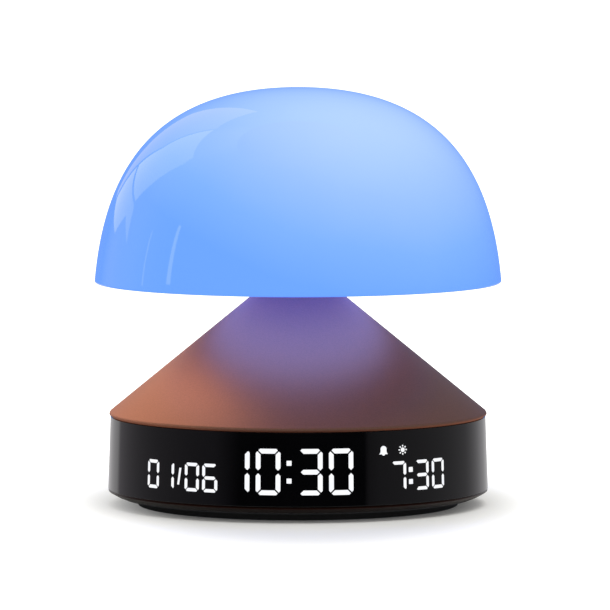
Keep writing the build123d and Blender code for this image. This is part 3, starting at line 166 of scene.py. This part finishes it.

# Opal acrylic, moulded plate with a satin face: the lamp shines through it round the middle, and the
# outer part, beyond the lamp board, stays grey, with a painted patch of light at the left for daylight
# through the dome
opalPlate, tree, shader = newMaterial("opalPlate", {
    "Base Color": "#959392", "Roughness": 0.5, "IOR": 1.49, "Emission Strength": 3.05})
plateGlow = {"radius": 73, "daylightAngle": -60, "daylightFrom": 50, "daylightTo": 70}
place = grain(tree, shader, 0.6, 0.01)[0]
flat = addNode(tree, "ShaderNodeVectorMath", {"operation": "MULTIPLY", 1: (1, 1, 0)},
               {0: place.outputs["Object"]})
reach = addNode(tree, "ShaderNodeVectorMath", {"operation": "LENGTH"}, {0: flat.outputs["Vector"]})
share = addNode(tree, "ShaderNodeMapRange", {"From Max": plateGlow["radius"] / 1000},
                {"Value": reach.outputs["Value"]})
lampLight = rampOf(tree, share.outputs["Result"], [
    (0.0, "#2850EA"), (0.25, "#2F56F3"), (0.45, "#4877FF"), (0.55, "#4D7CFF"), (0.67, "#446FDA"),
    (0.75, "#243870"), (0.83, "#070C1A"), (1.0, "#070C1A")])
# painted light: a pale glow added at the left of the plate, towards its rim, which the cone reflects
sideways = addNode(tree, "ShaderNodeVectorMath", {
    "operation": "DOT_PRODUCT", 1: outward(plateGlow["daylightAngle"])}, {0: place.outputs["Object"]})
share = addNode(tree, "ShaderNodeMapRange", {
    "From Min": plateGlow["daylightFrom"] / 1000, "From Max": plateGlow["daylightTo"] / 1000},
    {"Value": sideways.outputs["Value"]})
paintedDaylight = rampOf(tree, share.outputs["Result"], [(0.0, "#000000"), (1.0, "#A09C95")])
through = addNode(tree, "ShaderNodeVectorMath", {"operation": "ADD"}, {0: lampLight, 1: paintedDaylight})
tree.links.new(through.outputs["Vector"], shader.inputs["Emission Color"])

# Copper-bronze metallic lacquer, sprayed on a moulding and left satin: fine flakes that break up the
# highlight, warm where the light falls on it and dark where it does not
bronzeFinish, tree, shader = newMaterial("bronzeFinish", {
    "Base Color": "#E0916A", "Metallic": 1.0, "Roughness": 0.5, "Anisotropic": 0.7})
# flakes of 0.05 mm are too fine to show, so they are drawn at 0.5 mm
grain(tree, shader, 0.5, 0.004, colours=("#DA8B64", "#E6966F"), roughness=(0.47, 0.54))
around = addNode(tree, "ShaderNodeTangent", {"direction_type": "RADIAL", "axis": "Z"})
tree.links.new(around.outputs["Tangent"], shader.inputs["Tangent"])

# The same lacquer darkened to nearly black, a shaded copy for the base ring: painted shade, with a
# brown sheen at its edges
darkBronze, tree, shader = newMaterial("darkBronze", {
    "Base Color": "#2A1712", "Metallic": 1.0, "Roughness": 0.3})
grain(tree, shader, 0.5, 0.003, colours=("#26140F", "#2F1B15"), roughness=(0.26, 0.36))

# Smoked acrylic, moulded and polished: black until lit, with a mirror gloss and a little waviness
smokedAcrylic, tree, shader = newMaterial("smokedAcrylic", {
    "Base Color": "#030303", "Roughness": 0.05, "IOR": 1.49})
grain(tree, shader, 14.0, 0, colours=("#020203", "#040405"), roughness=(0.03, 0.07))

# Display segment: light from an LED diffused in white resin, a shade cooler between the chips
litSegment, tree, shader = newMaterial("litSegment", {
    "Base Color": "#26282C", "Roughness": 0.4, "Emission Strength": 1.0})
noise = grain(tree, shader, 2.5, 0)[1]
tree.links.new(rampOf(tree, noise.outputs["Fac"], [(0.3, "#F7F9FF"), (0.7, "#FFFFFF")]),
               shader.inputs["Emission Color"])

# ABS, moulded in black against a spark-eroded tool: an even, fine, dull grain
blackAbs, tree, shader = newMaterial("blackAbs", {
    "Base Color": "#131315", "Roughness": 0.55, "IOR": 1.54})
# grain of 0.1 mm drawn at 0.4 mm, so that it shows
grain(tree, shader, 0.4, 0.02, colours=("#101012", "#17171A"), roughness=(0.48, 0.62))

# ABS, moulded in grey against a plain tool: even and slightly dull
greyAbs, tree, shader = newMaterial("greyAbs", {"Base Color": "#8D9094", "Roughness": 0.5, "IOR": 1.54})
grain(tree, shader, 1.2, 0.01, colours=("#888B90", "#93969A"))

# Thermoplastic rubber, moulded: dead matt with a chalky grain
footRubber, tree, shader = newMaterial("footRubber", {
    "Base Color": "#0E0E0E", "Roughness": 0.9, "IOR": 1.5})
grain(tree, shader, 0.5, 0.02, colours=("#0B0B0B", "#131312"))

# Zinc-plated steel, cold headed: bright with faint blotches of plating
zincSteel, tree, shader = newMaterial("zincSteel", {
    "Base Color": "#C9CBCE", "Metallic": 1.0, "Roughness": 0.32})
grain(tree, shader, 0.7, 0.003, colours=("#BEC1C6", "#D2D3D3"), roughness=(0.25, 0.42))

# Aluminium tube, drawn and etched: pale and satin
satinAluminium, tree, shader = newMaterial("satinAluminium", {
    "Base Color": "#D5D7D9", "Metallic": 1.0, "Roughness": 0.38})
grain(tree, shader, 0.5, 0.002, colours=("#CDD0D3", "#DDDEDF"), roughness=(0.32, 0.45))

# Brass bar, turned: yellow and bright
turnedBrass, tree, shader = newMaterial("turnedBrass", {
    "Base Color": "#D9B56A", "Metallic": 1.0, "Roughness": 0.28})
grain(tree, shader, 0.8, 0.002, colours=("#CFA95D", "#E0BD74"), roughness=(0.22, 0.35))

# Glass-fibre laminate under green solder mask: the weave shows faintly through the gloss
circuitBoard, tree, shader = newMaterial("circuitBoard", {
    "Base Color": "#0F4A2A", "Roughness": 0.3, "IOR": 1.52})
place = addNode(tree, "ShaderNodeTexCoord")
weave = addNode(tree, "ShaderNodeTexChecker", {
    "Scale": 1000 / 0.8, "Color1": "#0D4426", "Color2": "#12522F"}, {"Vector": place.outputs["Object"]})
tree.links.new(weave.outputs["Color"], shader.inputs["Base Color"])

# Aluminium board under white solder mask, printed: an even, faintly pitted white
whiteMask, tree, shader = newMaterial("whiteMask", {"Base Color": "#E6E8EA", "Roughness": 0.35})
grain(tree, shader, 0.6, 0.004, colours=("#E1E3E6", "#ECEDEE"))

# Phosphor gel over a lamp chip: soft yellow, slightly domed gloss
phosphorGel, tree, shader = newMaterial("phosphorGel", {"Base Color": "#F2DA7C", "Roughness": 0.2})
grain(tree, shader, 0.5, 0.004, colours=("#EBCF6C", "#F7E28C"))

# Epoxy chip package, transfer moulded: charcoal with a fine dull grain
chipResin, tree, shader = newMaterial("chipResin", {"Base Color": "#1B1B1C", "Roughness": 0.6})
grain(tree, shader, 0.3, 0.006, colours=("#171718", "#212122"))

# Pressed steel under black powder paint: orange-peel gloss
blackPaint, tree, shader = newMaterial("blackPaint", {"Base Color": "#1A1A1B", "Roughness": 0.35})
grain(tree, shader, 0.9, 0.01, colours=("#171718", "#202021"))

# Sintered ferrite: near black, with the glitter of a broken stone
sinteredFerrite, tree, shader = newMaterial("sinteredFerrite", {
    "Base Color": "#2A2A2C", "Metallic": 0.4, "Roughness": 0.6})
grain(tree, shader, 0.25, 0.01, colours=("#232325", "#343437"), roughness=(0.45, 0.7))

# Speaker paper, pulped and pressed: dark and fibrous
pressedPaper, tree, shader = newMaterial("pressedPaper", {"Base Color": "#1F1E1C", "Roughness": 0.95})
grain(tree, shader, 0.35, 0.03, colours=("#191817", "#282624"), detail=6.0)

# Silicone lead jacket, extruded: white and slightly greasy
leadJacket, tree, shader = newMaterial("leadJacket", {"Base Color": "#D8D8D6", "Roughness": 0.45})
grain(tree, shader, 0.8, 0.004, colours=("#D2D2D0", "#DFDFDD"))

slotFinish = {
    "opal_acrylic": opalAcrylic, "opal_plate": opalPlate, "bronze_finish": bronzeFinish,
    "dark_bronze": darkBronze, "smoked_acrylic": smokedAcrylic, "lit_segment": litSegment,
    "black_abs": blackAbs, "grey_abs": greyAbs, "foot_rubber": footRubber, "steel": zincSteel,
    "aluminium": satinAluminium, "brass": turnedBrass, "circuit_board": circuitBoard,
    "board_white": whiteMask, "led_package": phosphorGel, "chip_resin": chipResin,
    "speaker_steel": blackPaint, "ferrite": sinteredFerrite, "paper": pressedPaper,
    "lead_jacket": leadJacket}
slotOf = {part["node"]: part["material_slot"] for part in frame["record"]["subparts"]}
for name, node in frame["nodes"].items():
    for materialSlot in node.material_slots:
        materialSlot.material = slotFinish[slotOf[name]]
print("materials:", len(slotFinish))


def keepPiece(bm, name, material, body, replaced=(), sharpOver=30, flatFirst=False):
    # a finished mesh, on a body or on none: edges over that many degrees stay crisp, and the rest is
    # smooth.
    # flatFirst lets large faces keep their direction beside rounds
    mesh = bpy.data.meshes.new(name)
    bm.to_mesh(mesh)
    bm.free()
    mesh.shade_smooth()
    mesh.set_sharp_from_angle(angle=math.radians(sharpOver))
    mesh.materials.append(material)
    piece = bpy.data.objects.new(name, mesh)
    scene.collection.objects.link(piece)
    if body:
        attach(piece, body)
    if replaced:
        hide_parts(*replaced)
    if flatFirst:
        piece.modifiers.new("largeFacesFirst", "WEIGHTED_NORMAL").keep_sharp = True
    return piece


def turned(points, rounds=(), start=0, span=360, steps=288):
    # (radius, height) points turned about the clock's axis. rounds holds (corner number, radius)
    bm = bmesh.new()
    corners = [bm.verts.new((outward(start) * r + Vector((0, 0, z))) / 1000) for r, z in points]
    bm.faces.new(corners)
    for corner, radius in rounds:
        bmesh.ops.bevel(bm, geom=[corners[corner]], offset=radius / 1000, offset_type="OFFSET",
                        segments=5, profile=0.5, affect="VERTICES", material=-1)
    bmesh.ops.delete(bm, geom=bm.faces[:], context="FACES_ONLY")
    onAxis = [e for e in bm.edges if all(v.co.xy.length < 1e-7 for v in e.verts)]
    bmesh.ops.delete(bm, geom=onAxis, context="EDGES")
    bmesh.ops.spin(bm, geom=bm.verts[:] + bm.edges[:], axis=(0, 0, 1), cent=(0, 0, 0),
                   angle=math.radians(span), steps=steps, use_merge=span == 360)
    bmesh.ops.remove_doubles(bm, verts=bm.verts, dist=1e-7)
    if span < 360:
        bmesh.ops.holes_fill(bm, edges=[e for e in bm.edges if e.is_boundary], sides=0)
    bmesh.ops.recalc_face_normals(bm, faces=bm.faces)
    return bm


def merged(nodeName):
    # a CAD node's loose triangles joined up, so that its round faces shade smoothly
    bm = bmesh.new()
    bm.from_mesh(frame["nodes"][nodeName].data)
    for layer in [x for x in bm.loops.layers.float_vector.values() if "normal" in x.name]:
        bm.loops.layers.float_vector.remove(layer)
    bmesh.ops.remove_doubles(bm, verts=bm.verts, dist=2e-6)
    return bm


# Dome
dome = {"rimRadius": 75.0, "rimHeight": 82.0, "sideLean": 3.4, "sideHandle": 40.0,
        "crownHandle": 54.5, "top": 153.8, "wall": 2.4, "rimWall": 2.1, "rebate": 5.0,
        "ledge": 1.0, "rimRound": 0.7, "samples": 72}
outerCurve = interpolate_bezier(
    Vector((dome["rimRadius"], dome["rimHeight"])),
    Vector((dome["rimRadius"] - dome["sideLean"], dome["rimHeight"] + dome["sideHandle"])),
    Vector((dome["crownHandle"], dome["top"])), Vector((0, dome["top"])), dome["samples"])
seatRadius = dome["rimRadius"] - dome["rimWall"]
innerFoot = Vector((seatRadius - dome["ledge"], dome["rimHeight"] + dome["rebate"]))
innerCurve = interpolate_bezier(
    innerFoot,
    Vector((innerFoot.x - dome["sideLean"], dome["rimHeight"] + dome["sideHandle"] - dome["wall"] / 2)),
    Vector((dome["crownHandle"] - dome["wall"] / 2, dome["top"] - dome["wall"])),
    Vector((0, dome["top"] - dome["wall"])), dome["samples"] // 2)
section = [tuple(p)[:2] for p in outerCurve] + [tuple(p)[:2] for p in reversed(innerCurve)]
section += [(seatRadius, innerFoot.y), (seatRadius, dome["rimHeight"])]
bm = turned(section, rounds=[(0, dome["rimRound"])])
keepPiece(bm, "domeShell", opalAcrylic, "shade", ["shade_dome"])

# Underside plate, inside the rim
keepPiece(merged("shade_underside"), "domeUnderside", opalPlate, "shade",
          ["shade_underside"], flatFirst=True)
print("dome and its underside")

# Cone
cone = {"lipRadius": 69.6, "seatRadius": 68.9, "seatHeight": 32.9, "lipHeight": 33.4,
        "shoulder": 34.1, "neckRadius": 10.4, "neckHeight": 82.6, "bore": 7.0, "neckThickness": 1.6,
        "shoulderRadius": 9.5, "wall": 2.84, "spigotOuter": 66.8, "spigotInner": 64.6,
        "deck": 31.9, "lipRound": 0.56}
slope = (cone["neckHeight"] - cone["shoulder"]) / (cone["lipRadius"] - cone["neckRadius"])
innerTop = cone["shoulder"] + (cone["lipRadius"] - cone["wall"] - cone["shoulderRadius"]) * slope
innerLow = cone["shoulder"] + (cone["lipRadius"] - cone["wall"] - cone["spigotInner"]) * slope
bm = turned([
    (cone["lipRadius"], cone["shoulder"]), (cone["neckRadius"], cone["neckHeight"]),
    (cone["bore"], cone["neckHeight"]), (cone["bore"], cone["neckHeight"] - cone["neckThickness"]),
    (cone["shoulderRadius"], cone["neckHeight"] - cone["neckThickness"]),
    (cone["shoulderRadius"], innerTop), (cone["spigotInner"], innerLow),
    (cone["spigotInner"], cone["deck"]), (cone["spigotOuter"], cone["deck"]),
    (cone["spigotOuter"], cone["seatHeight"]), (cone["seatRadius"], cone["seatHeight"]),
    (cone["seatRadius"], cone["lipHeight"]), (cone["lipRadius"], cone["lipHeight"])],
    rounds=[(0, cone["lipRound"])])
keepPiece(bm, "bronzeCone", bronzeFinish, "root", ["cone_shell"])
print("cone")

# Display band, in front of the rear panel
band = {"inner": 67.0, "topRadius": 69.2, "bottomRadius": 70.12, "bottom": 6.0, "top": 32.9,
        "edge": 0.3, "footRound": 0.15, "span": 259.743, "steps": 260, "segmentLift": 0.02}
bm = turned([
    (band["inner"], band["bottom"]), (band["bottomRadius"], band["bottom"]),
    (band["topRadius"], band["top"] - band["edge"]), (band["topRadius"] - band["edge"], band["top"]),
    (band["inner"], band["top"])],
    rounds=[(1, band["footRound"])], start=-band["span"] / 2, span=band["span"], steps=band["steps"])
keepPiece(bm, "displayBand", smokedAcrylic, "root", ["display_band"])

# Lit segments, a hair proud of the band so that its gloss doesn't cover them
for nodeName, pieceName in {"time_digits": "timeDigits", "date_digits": "dateDigits",
                            "alarm_digits": "alarmDigits", "alarm_icons": "alarmIcons"}.items():
    bm = merged(nodeName)
    for vert in bm.verts:
        flat = Vector((vert.co.x, vert.co.y, 0))
        vert.co += flat.normalized() * band["segmentLift"] / 1000
    keepPiece(bm, pieceName, litSegment, "root", [nodeName])
print("band and digits")

# Base ring
ring = {"inner": 62.6, "outer": 70.0, "top": 6.0, "lip": 0.8, "bottomRadius": 66.9,
        "bottom": 3.5, "coverEdge": 65.2, "ledge": 4.6, "topRound": 0.12, "edgeRound": 0.25}
bm = turned([
    (ring["inner"], ring["top"]), (ring["outer"], ring["top"]),
    (ring["outer"], ring["top"] - ring["lip"]),
    (ring["bottomRadius"], ring["bottom"]), (ring["coverEdge"], ring["bottom"]),
    (ring["coverEdge"], ring["ledge"]), (ring["inner"], ring["ledge"])],
    rounds=[(1, ring["topRound"]), (2, ring["edgeRound"]), (3, ring["edgeRound"])])
# its lacquer is the darkened copy of the bronze: painted shade
keepPiece(bm, "baseRing", slotFinish[slotOf["base_ring"]], "root", ["base_ring"])

# Rear panel: its curved face has few corners between the holes, so it gets its true direction. A zero
# leaves the smoothed direction of faces that look another way, by a cosine under onFace
panel = keepPiece(merged("rear_panel"), "rearPanel", blackAbs, "root", ["rear_panel"])
lean = math.atan2(band["bottomRadius"] - band["topRadius"], band["top"] - band["bottom"])
onFace = 0.98
normals = []
for face in panel.data.polygons:
    for index in face.vertices:
        away = panel.data.vertices[index].co * Vector((1, 1, 0))
        away = away.normalized() * math.cos(lean) + Vector((0, 0, math.sin(lean)))
        normals.append(away if face.normal.dot(away) > onFace else Vector((0, 0, 0)))
panel.data.normals_split_custom_set(normals)

# Everything else that shows from outside keeps its CAD shape, merged so that it shades smoothly
outside = {"bottom_cover": "bottomCover", "foot_ring": "footRing", "cover_screws": "coverScrews",
           "usb_shell": "inletShell", "usb_tongue": "inletTongue", "stem_nut": "stemNut",
           "stem_tube": "stemTube"}
for nodeName, pieceName in outside.items():
    keepPiece(merged(nodeName), pieceName, slotFinish[slotOf[nodeName]], "root",
              [nodeName], flatFirst=True)
controls = [b for b in frame["bodies"] if b.startswith("button_")] + ["alarm_slider", "battery_cap"]
for bodyName in controls:
    pieceName = bodyName.split("_")[0] + bodyName.split("_")[1].capitalize()
    keepPiece(merged(bodyName), pieceName, slotFinish[slotOf[bodyName]], bodyName,
              [bodyName], flatFirst=True)
print("base, rear and controls")

# The dome's spring and the lamp's lead, kept on no body
for nodeName, pieceName in {"return_spring": "returnSpring", "led_cable": "lampLead"}.items():
    piece = keepPiece(merged(nodeName), pieceName, slotFinish[slotOf[nodeName]], None,
                      [nodeName])
    low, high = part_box(nodeName)
    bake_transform(piece)
print("spring and lead")


def keepStage(bm, name, material, **visible):
    mesh = bpy.data.meshes.new(name)
    bm.to_mesh(mesh)
    bm.free()
    mesh.materials.append(material)
    thing = bpy.data.objects.new(name, mesh)
    scene.collection.objects.link(thing)
    for ray, seen in visible.items():
        setattr(thing, "visible_" + ray, seen)


# White paper floor: its own colour near the clock, so that the lamps' shadow shows, and bright beyond.
# The dim zone's shape is painted shadow. The disc under the clock lets light up to the underside, for
# the views from below
floor = {"outer": 7.0, "underClock": 0.085, "below": 0.0001, "shadowFrom": 0.096, "shadowTo": 0.23,
         "narrowed": 2, "aside": 0.01, "glowNear": 0.06}
floorPaper = bpy.data.materials.new("floorPaper")
floorPaper.use_nodes = True
tree = floorPaper.node_tree
shader = tree.nodes["Principled BSDF"]
shader.inputs["Base Color"].default_value = linear("#E5E4DF")
shader.inputs["Roughness"].default_value = 0.9
shader.inputs["Specular IOR Level"].default_value = 0.0
place = addNode(tree, "ShaderNodeTexCoord")
# painted shadow: the dim zone round the lamps' own shadow is narrowed at the sides, shifted to the
# right and long to the front
wide = addNode(tree, "ShaderNodeVectorMath", {
    "operation": "MULTIPLY_ADD", 1: (floor["narrowed"], 1, 1), 2: (-floor["aside"], 0, 0)},
    {0: place.outputs["Object"]})
reach = addNode(tree, "ShaderNodeVectorMath", {"operation": "LENGTH"}, {0: wide.outputs["Vector"]})
spread = addNode(tree, "ShaderNodeMapRange", {
    "interpolation_type": "SMOOTHSTEP", "From Min": floor["shadowFrom"], "From Max": floor["shadowTo"],
    "To Min": floor["glowNear"], "To Max": 1.0}, {"Value": reach.outputs["Value"]})
rays = addNode(tree, "ShaderNodeLightPath")
seen = addNode(tree, "ShaderNodeMath", {"operation": "MULTIPLY"},
               {0: rays.outputs["Is Camera Ray"], 1: spread.outputs["Result"]})
whiteOut = addNode(tree, "ShaderNodeEmission", {"Color": "#FFFFFF"},
                   {"Strength": seen.outputs["Value"]})
both = addNode(tree, "ShaderNodeAddShader", links={
    0: shader.outputs["BSDF"], 1: whiteOut.outputs["Emission"]})
clear = addNode(tree, "ShaderNodeBsdfTransparent")
side = addNode(tree, "ShaderNodeNewGeometry")
oneSided = addNode(tree, "ShaderNodeMixShader", links={
    0: side.outputs["Backfacing"], 1: both.outputs["Shader"], 2: clear.outputs["BSDF"]})
tree.links.new(oneSided.outputs["Shader"], tree.nodes["Material Output"].inputs["Surface"])
bm = bmesh.new()
bmesh.ops.create_circle(bm, cap_ends=True, segments=96, radius=floor["underClock"])
bmesh.ops.translate(bm, verts=bm.verts, vec=(0, 0, -floor["below"]))
keepStage(bm, "floorUnderClock", floorPaper, diffuse=False, shadow=False)
bm = bmesh.new()
bmesh.ops.create_circle(bm, segments=96, radius=floor["underClock"])
bmesh.ops.create_circle(bm, segments=96, radius=floor["outer"])
bmesh.ops.bridge_loops(bm, edges=bm.edges)
bmesh.ops.recalc_face_normals(bm, faces=bm.faces)
if bm.faces[0].normal.z < 0:
    bmesh.ops.reverse_faces(bm, faces=bm.faces)
bmesh.ops.translate(bm, verts=bm.verts, vec=(0, 0, -floor["below"]))
keepStage(bm, "paperFloor", floorPaper, glossy=False)


def paleGlow(name, brightness, tones=None):
    # glowing studio surface. tones go by bearing: 0 and 1 behind, 0.25 left, 0.5 front, 0.75 right
    material = bpy.data.materials.new(name)
    material.use_nodes = True
    tree = material.node_tree
    tree.nodes.remove(tree.nodes["Principled BSDF"])
    shine = addNode(tree, "ShaderNodeEmission", {"Color": "#FFFFFF", "Strength": brightness})
    if tones:
        place = addNode(tree, "ShaderNodeTexCoord")
        parts = addNode(tree, "ShaderNodeSeparateXYZ", links={"Vector": place.outputs["Object"]})
        towards = addNode(tree, "ShaderNodeMath", {"operation": "MULTIPLY", 1: -1.0},
                          {0: parts.outputs["Y"]})
        bearing = addNode(tree, "ShaderNodeMath", {"operation": "ARCTAN2"},
                          {0: parts.outputs["X"], 1: towards.outputs["Value"]})
        turn = addNode(tree, "ShaderNodeMapRange", {"From Min": -math.pi, "From Max": math.pi},
                       {"Value": bearing.outputs["Value"]})
        tree.links.new(rampOf(tree, turn.outputs["Result"], tones), shine.inputs["Color"])
    tree.links.new(shine.outputs["Emission"], tree.nodes["Material Output"].inputs["Surface"])
    material.cycles.emission_sampling = "NONE"
    return material


def keepReflected(bm, name, material):
    # a studio surface that only shows in reflections
    keepStage(bm, name, material, camera=False, diffuse=False, shadow=False, transmission=False,
              volume_scatter=False)


# Studio walls: a dim bluish room, and close round the clock the pale table's edge with a dark front.
# Radius, foot, top, brightness, and the tones by bearing
walls = {
    "roomWall": (2.0, -0.3, 4.5, 1.0, [
        (0.0, "#7CA8E6"), (0.09, "#7C9FD0"), (0.13, "#BCC6D2"), (0.2, "#C4CCD6"), (0.28, "#8395AD"),
        (0.36, "#6C7F99"), (0.85, "#6C86A8"), (1.0, "#7CA8E6")]),
    "tableWall": (0.5, -0.12, 0.042, 1.2, [
        (0.0, "#CECCCE"), (0.122, "#CECCCE"), (0.133, "#959196"), (0.366, "#636067"),
        (0.408, "#1D1C20"), (0.606, "#1F1F22"), (0.612, "#5E5C60"), (0.634, "#716F73"),
        (0.825, "#959396"), (0.89, "#C2C0C3"), (1.0, "#CFCFCF")])}
for name, (radius, low, high, brightness, tones) in walls.items():
    bm = bmesh.new()
    bmesh.ops.create_cone(bm, cap_ends=False, segments=128, radius1=radius, radius2=radius,
                          depth=high - low)
    bmesh.ops.translate(bm, verts=bm.verts, vec=(0, 0, (high + low) / 2))
    keepReflected(bm, name, paleGlow(name, brightness, tones))

# Tall window at the left, behind the clock: two panes with a bar between them, and thin gaps of light
# between the blinds further round. Brightness, and corners as (bearing, elevation) from the clock
window = {"distance": 1.6, "height": 0.11, "steps": 8}
panes = {
    "upperPane": (0.8, [
        (-158.5, 4.5), (-160, 12), (-166, 20), (-166.5, 49), (-141, 51), (-142, 28), (-155.5, 4.5)]),
    "lowerPane": (1.4, [
        (-139.5, 50.5), (-108, 46), (-108, 40.6), (-117.5, 25), (-124, 16.2), (-147.3, 16.2),
        (-141, 28)]),
    "lowerPaneTip": (1.2, [
        (-148, 15.2), (-124, 15.2), (-121.6, 14.3), (-117.5, 7.2), (-128, 11), (-136, 5.2),
        (-153, 5.7)]),
    "gapFar": (1.6, [(-97.6, 2), (-97, 15), (-96.2, 15), (-96.4, 2)]),
    "gapNear": (2.2, [(-78.5, 4), (-77.5, 21), (-75.5, 21), (-75.5, 4)])}
for name, (brightness, corners) in panes.items():
    bm = bmesh.new()
    rim = []
    for (a1, e1), (a2, e2) in zip(corners, corners[1:] + corners[:1]):
        for step in range(window["steps"]):
            s = step / window["steps"]
            corner = outward(a1 + (a2 - a1) * s, e1 + (e2 - e1) * s) * window["distance"]
            rim.append(bm.verts.new(corner + Vector((0, 0, window["height"]))))
    bmesh.ops.triangulate(bm, faces=[bm.faces.new(rim)])
    keepReflected(bm, name, paleGlow(name, brightness))

# Key softbox, high at the front right, and not seen in the gloss. Its brightness is that of its white
# face, where 1 is the background's white
key = {"angle": 40, "elevation": 65, "distance": 1.3, "size": 0.9, "brightness": 2.0, "aim": 0.09}
keyLight = bpy.data.lights.new("keySoftbox", "AREA")
keyLight.shape = "RECTANGLE"
keyLight.size, keyLight.size_y = key["size"], key["size"]
keyLight.energy = 4 * key["size"] ** 2 * key["brightness"]
towardsKey = outward(key["angle"], key["elevation"])
softbox = bpy.data.objects.new("keySoftbox", keyLight)
softbox.location = towardsKey * key["distance"] + Vector((0, 0, key["aim"]))
softbox.rotation_mode = "QUATERNION"
softbox.rotation_quaternion = towardsKey.to_track_quat("Z", "Y")
softbox.visible_camera = False
softbox.visible_glossy = False
scene.collection.objects.link(softbox)

# World: white to the eye, dim in reflections, and an even light on everything
ambient = {"shown": 1.0, "light": 0.7, "inGloss": 0.3}
world = bpy.data.worlds.new("studioWorld")
scene.world = world
world.use_nodes = True
tree = world.node_tree
backdrop = tree.nodes["Background"]
backdrop.inputs["Color"].default_value = linear("#FFFFFF")
rays = addNode(tree, "ShaderNodeLightPath")
shown = addNode(tree, "ShaderNodeMath", {"operation": "MAXIMUM"},
                {0: rays.outputs["Is Camera Ray"], 1: rays.outputs["Is Transmission Ray"]})
lit = addNode(tree, "ShaderNodeMapRange", {"To Min": ambient["light"], "To Max": ambient["shown"]},
              {"Value": shown.outputs["Value"]})
dim = addNode(tree, "ShaderNodeMapRange", {"To Min": 1.0, "To Max": ambient["inGloss"]},
              {"Value": rays.outputs["Is Glossy Ray"]})
level = addNode(tree, "ShaderNodeMath", {"operation": "MULTIPLY"},
                {0: lit.outputs["Result"], 1: dim.outputs["Result"]})
tree.links.new(level.outputs["Value"], backdrop.inputs["Strength"])
print("studio")

# Camera, a little above the display and looking slightly down. Its lens and sensor are in millimetres
view = {"distance": 2.5828, "elevation": 4.43, "target": 0.07347, "aside": 0.00257, "lens": 413.5,
        "sensor": 36, "clipEnd": 60}
eye = bpy.data.cameras.new("camera")
eye.lens, eye.sensor_width = view["lens"], view["sensor"]
eye.clip_end = view["clipEnd"]
camera = bpy.data.objects.new("camera", eye)
camera.location = (outward(0, view["elevation"]) * view["distance"]
                   + Vector((view["aside"], 0, view["target"])))
camera.rotation_euler = (math.radians(90 - view["elevation"]), 0, 0)
scene.collection.objects.link(camera)
scene.camera = camera
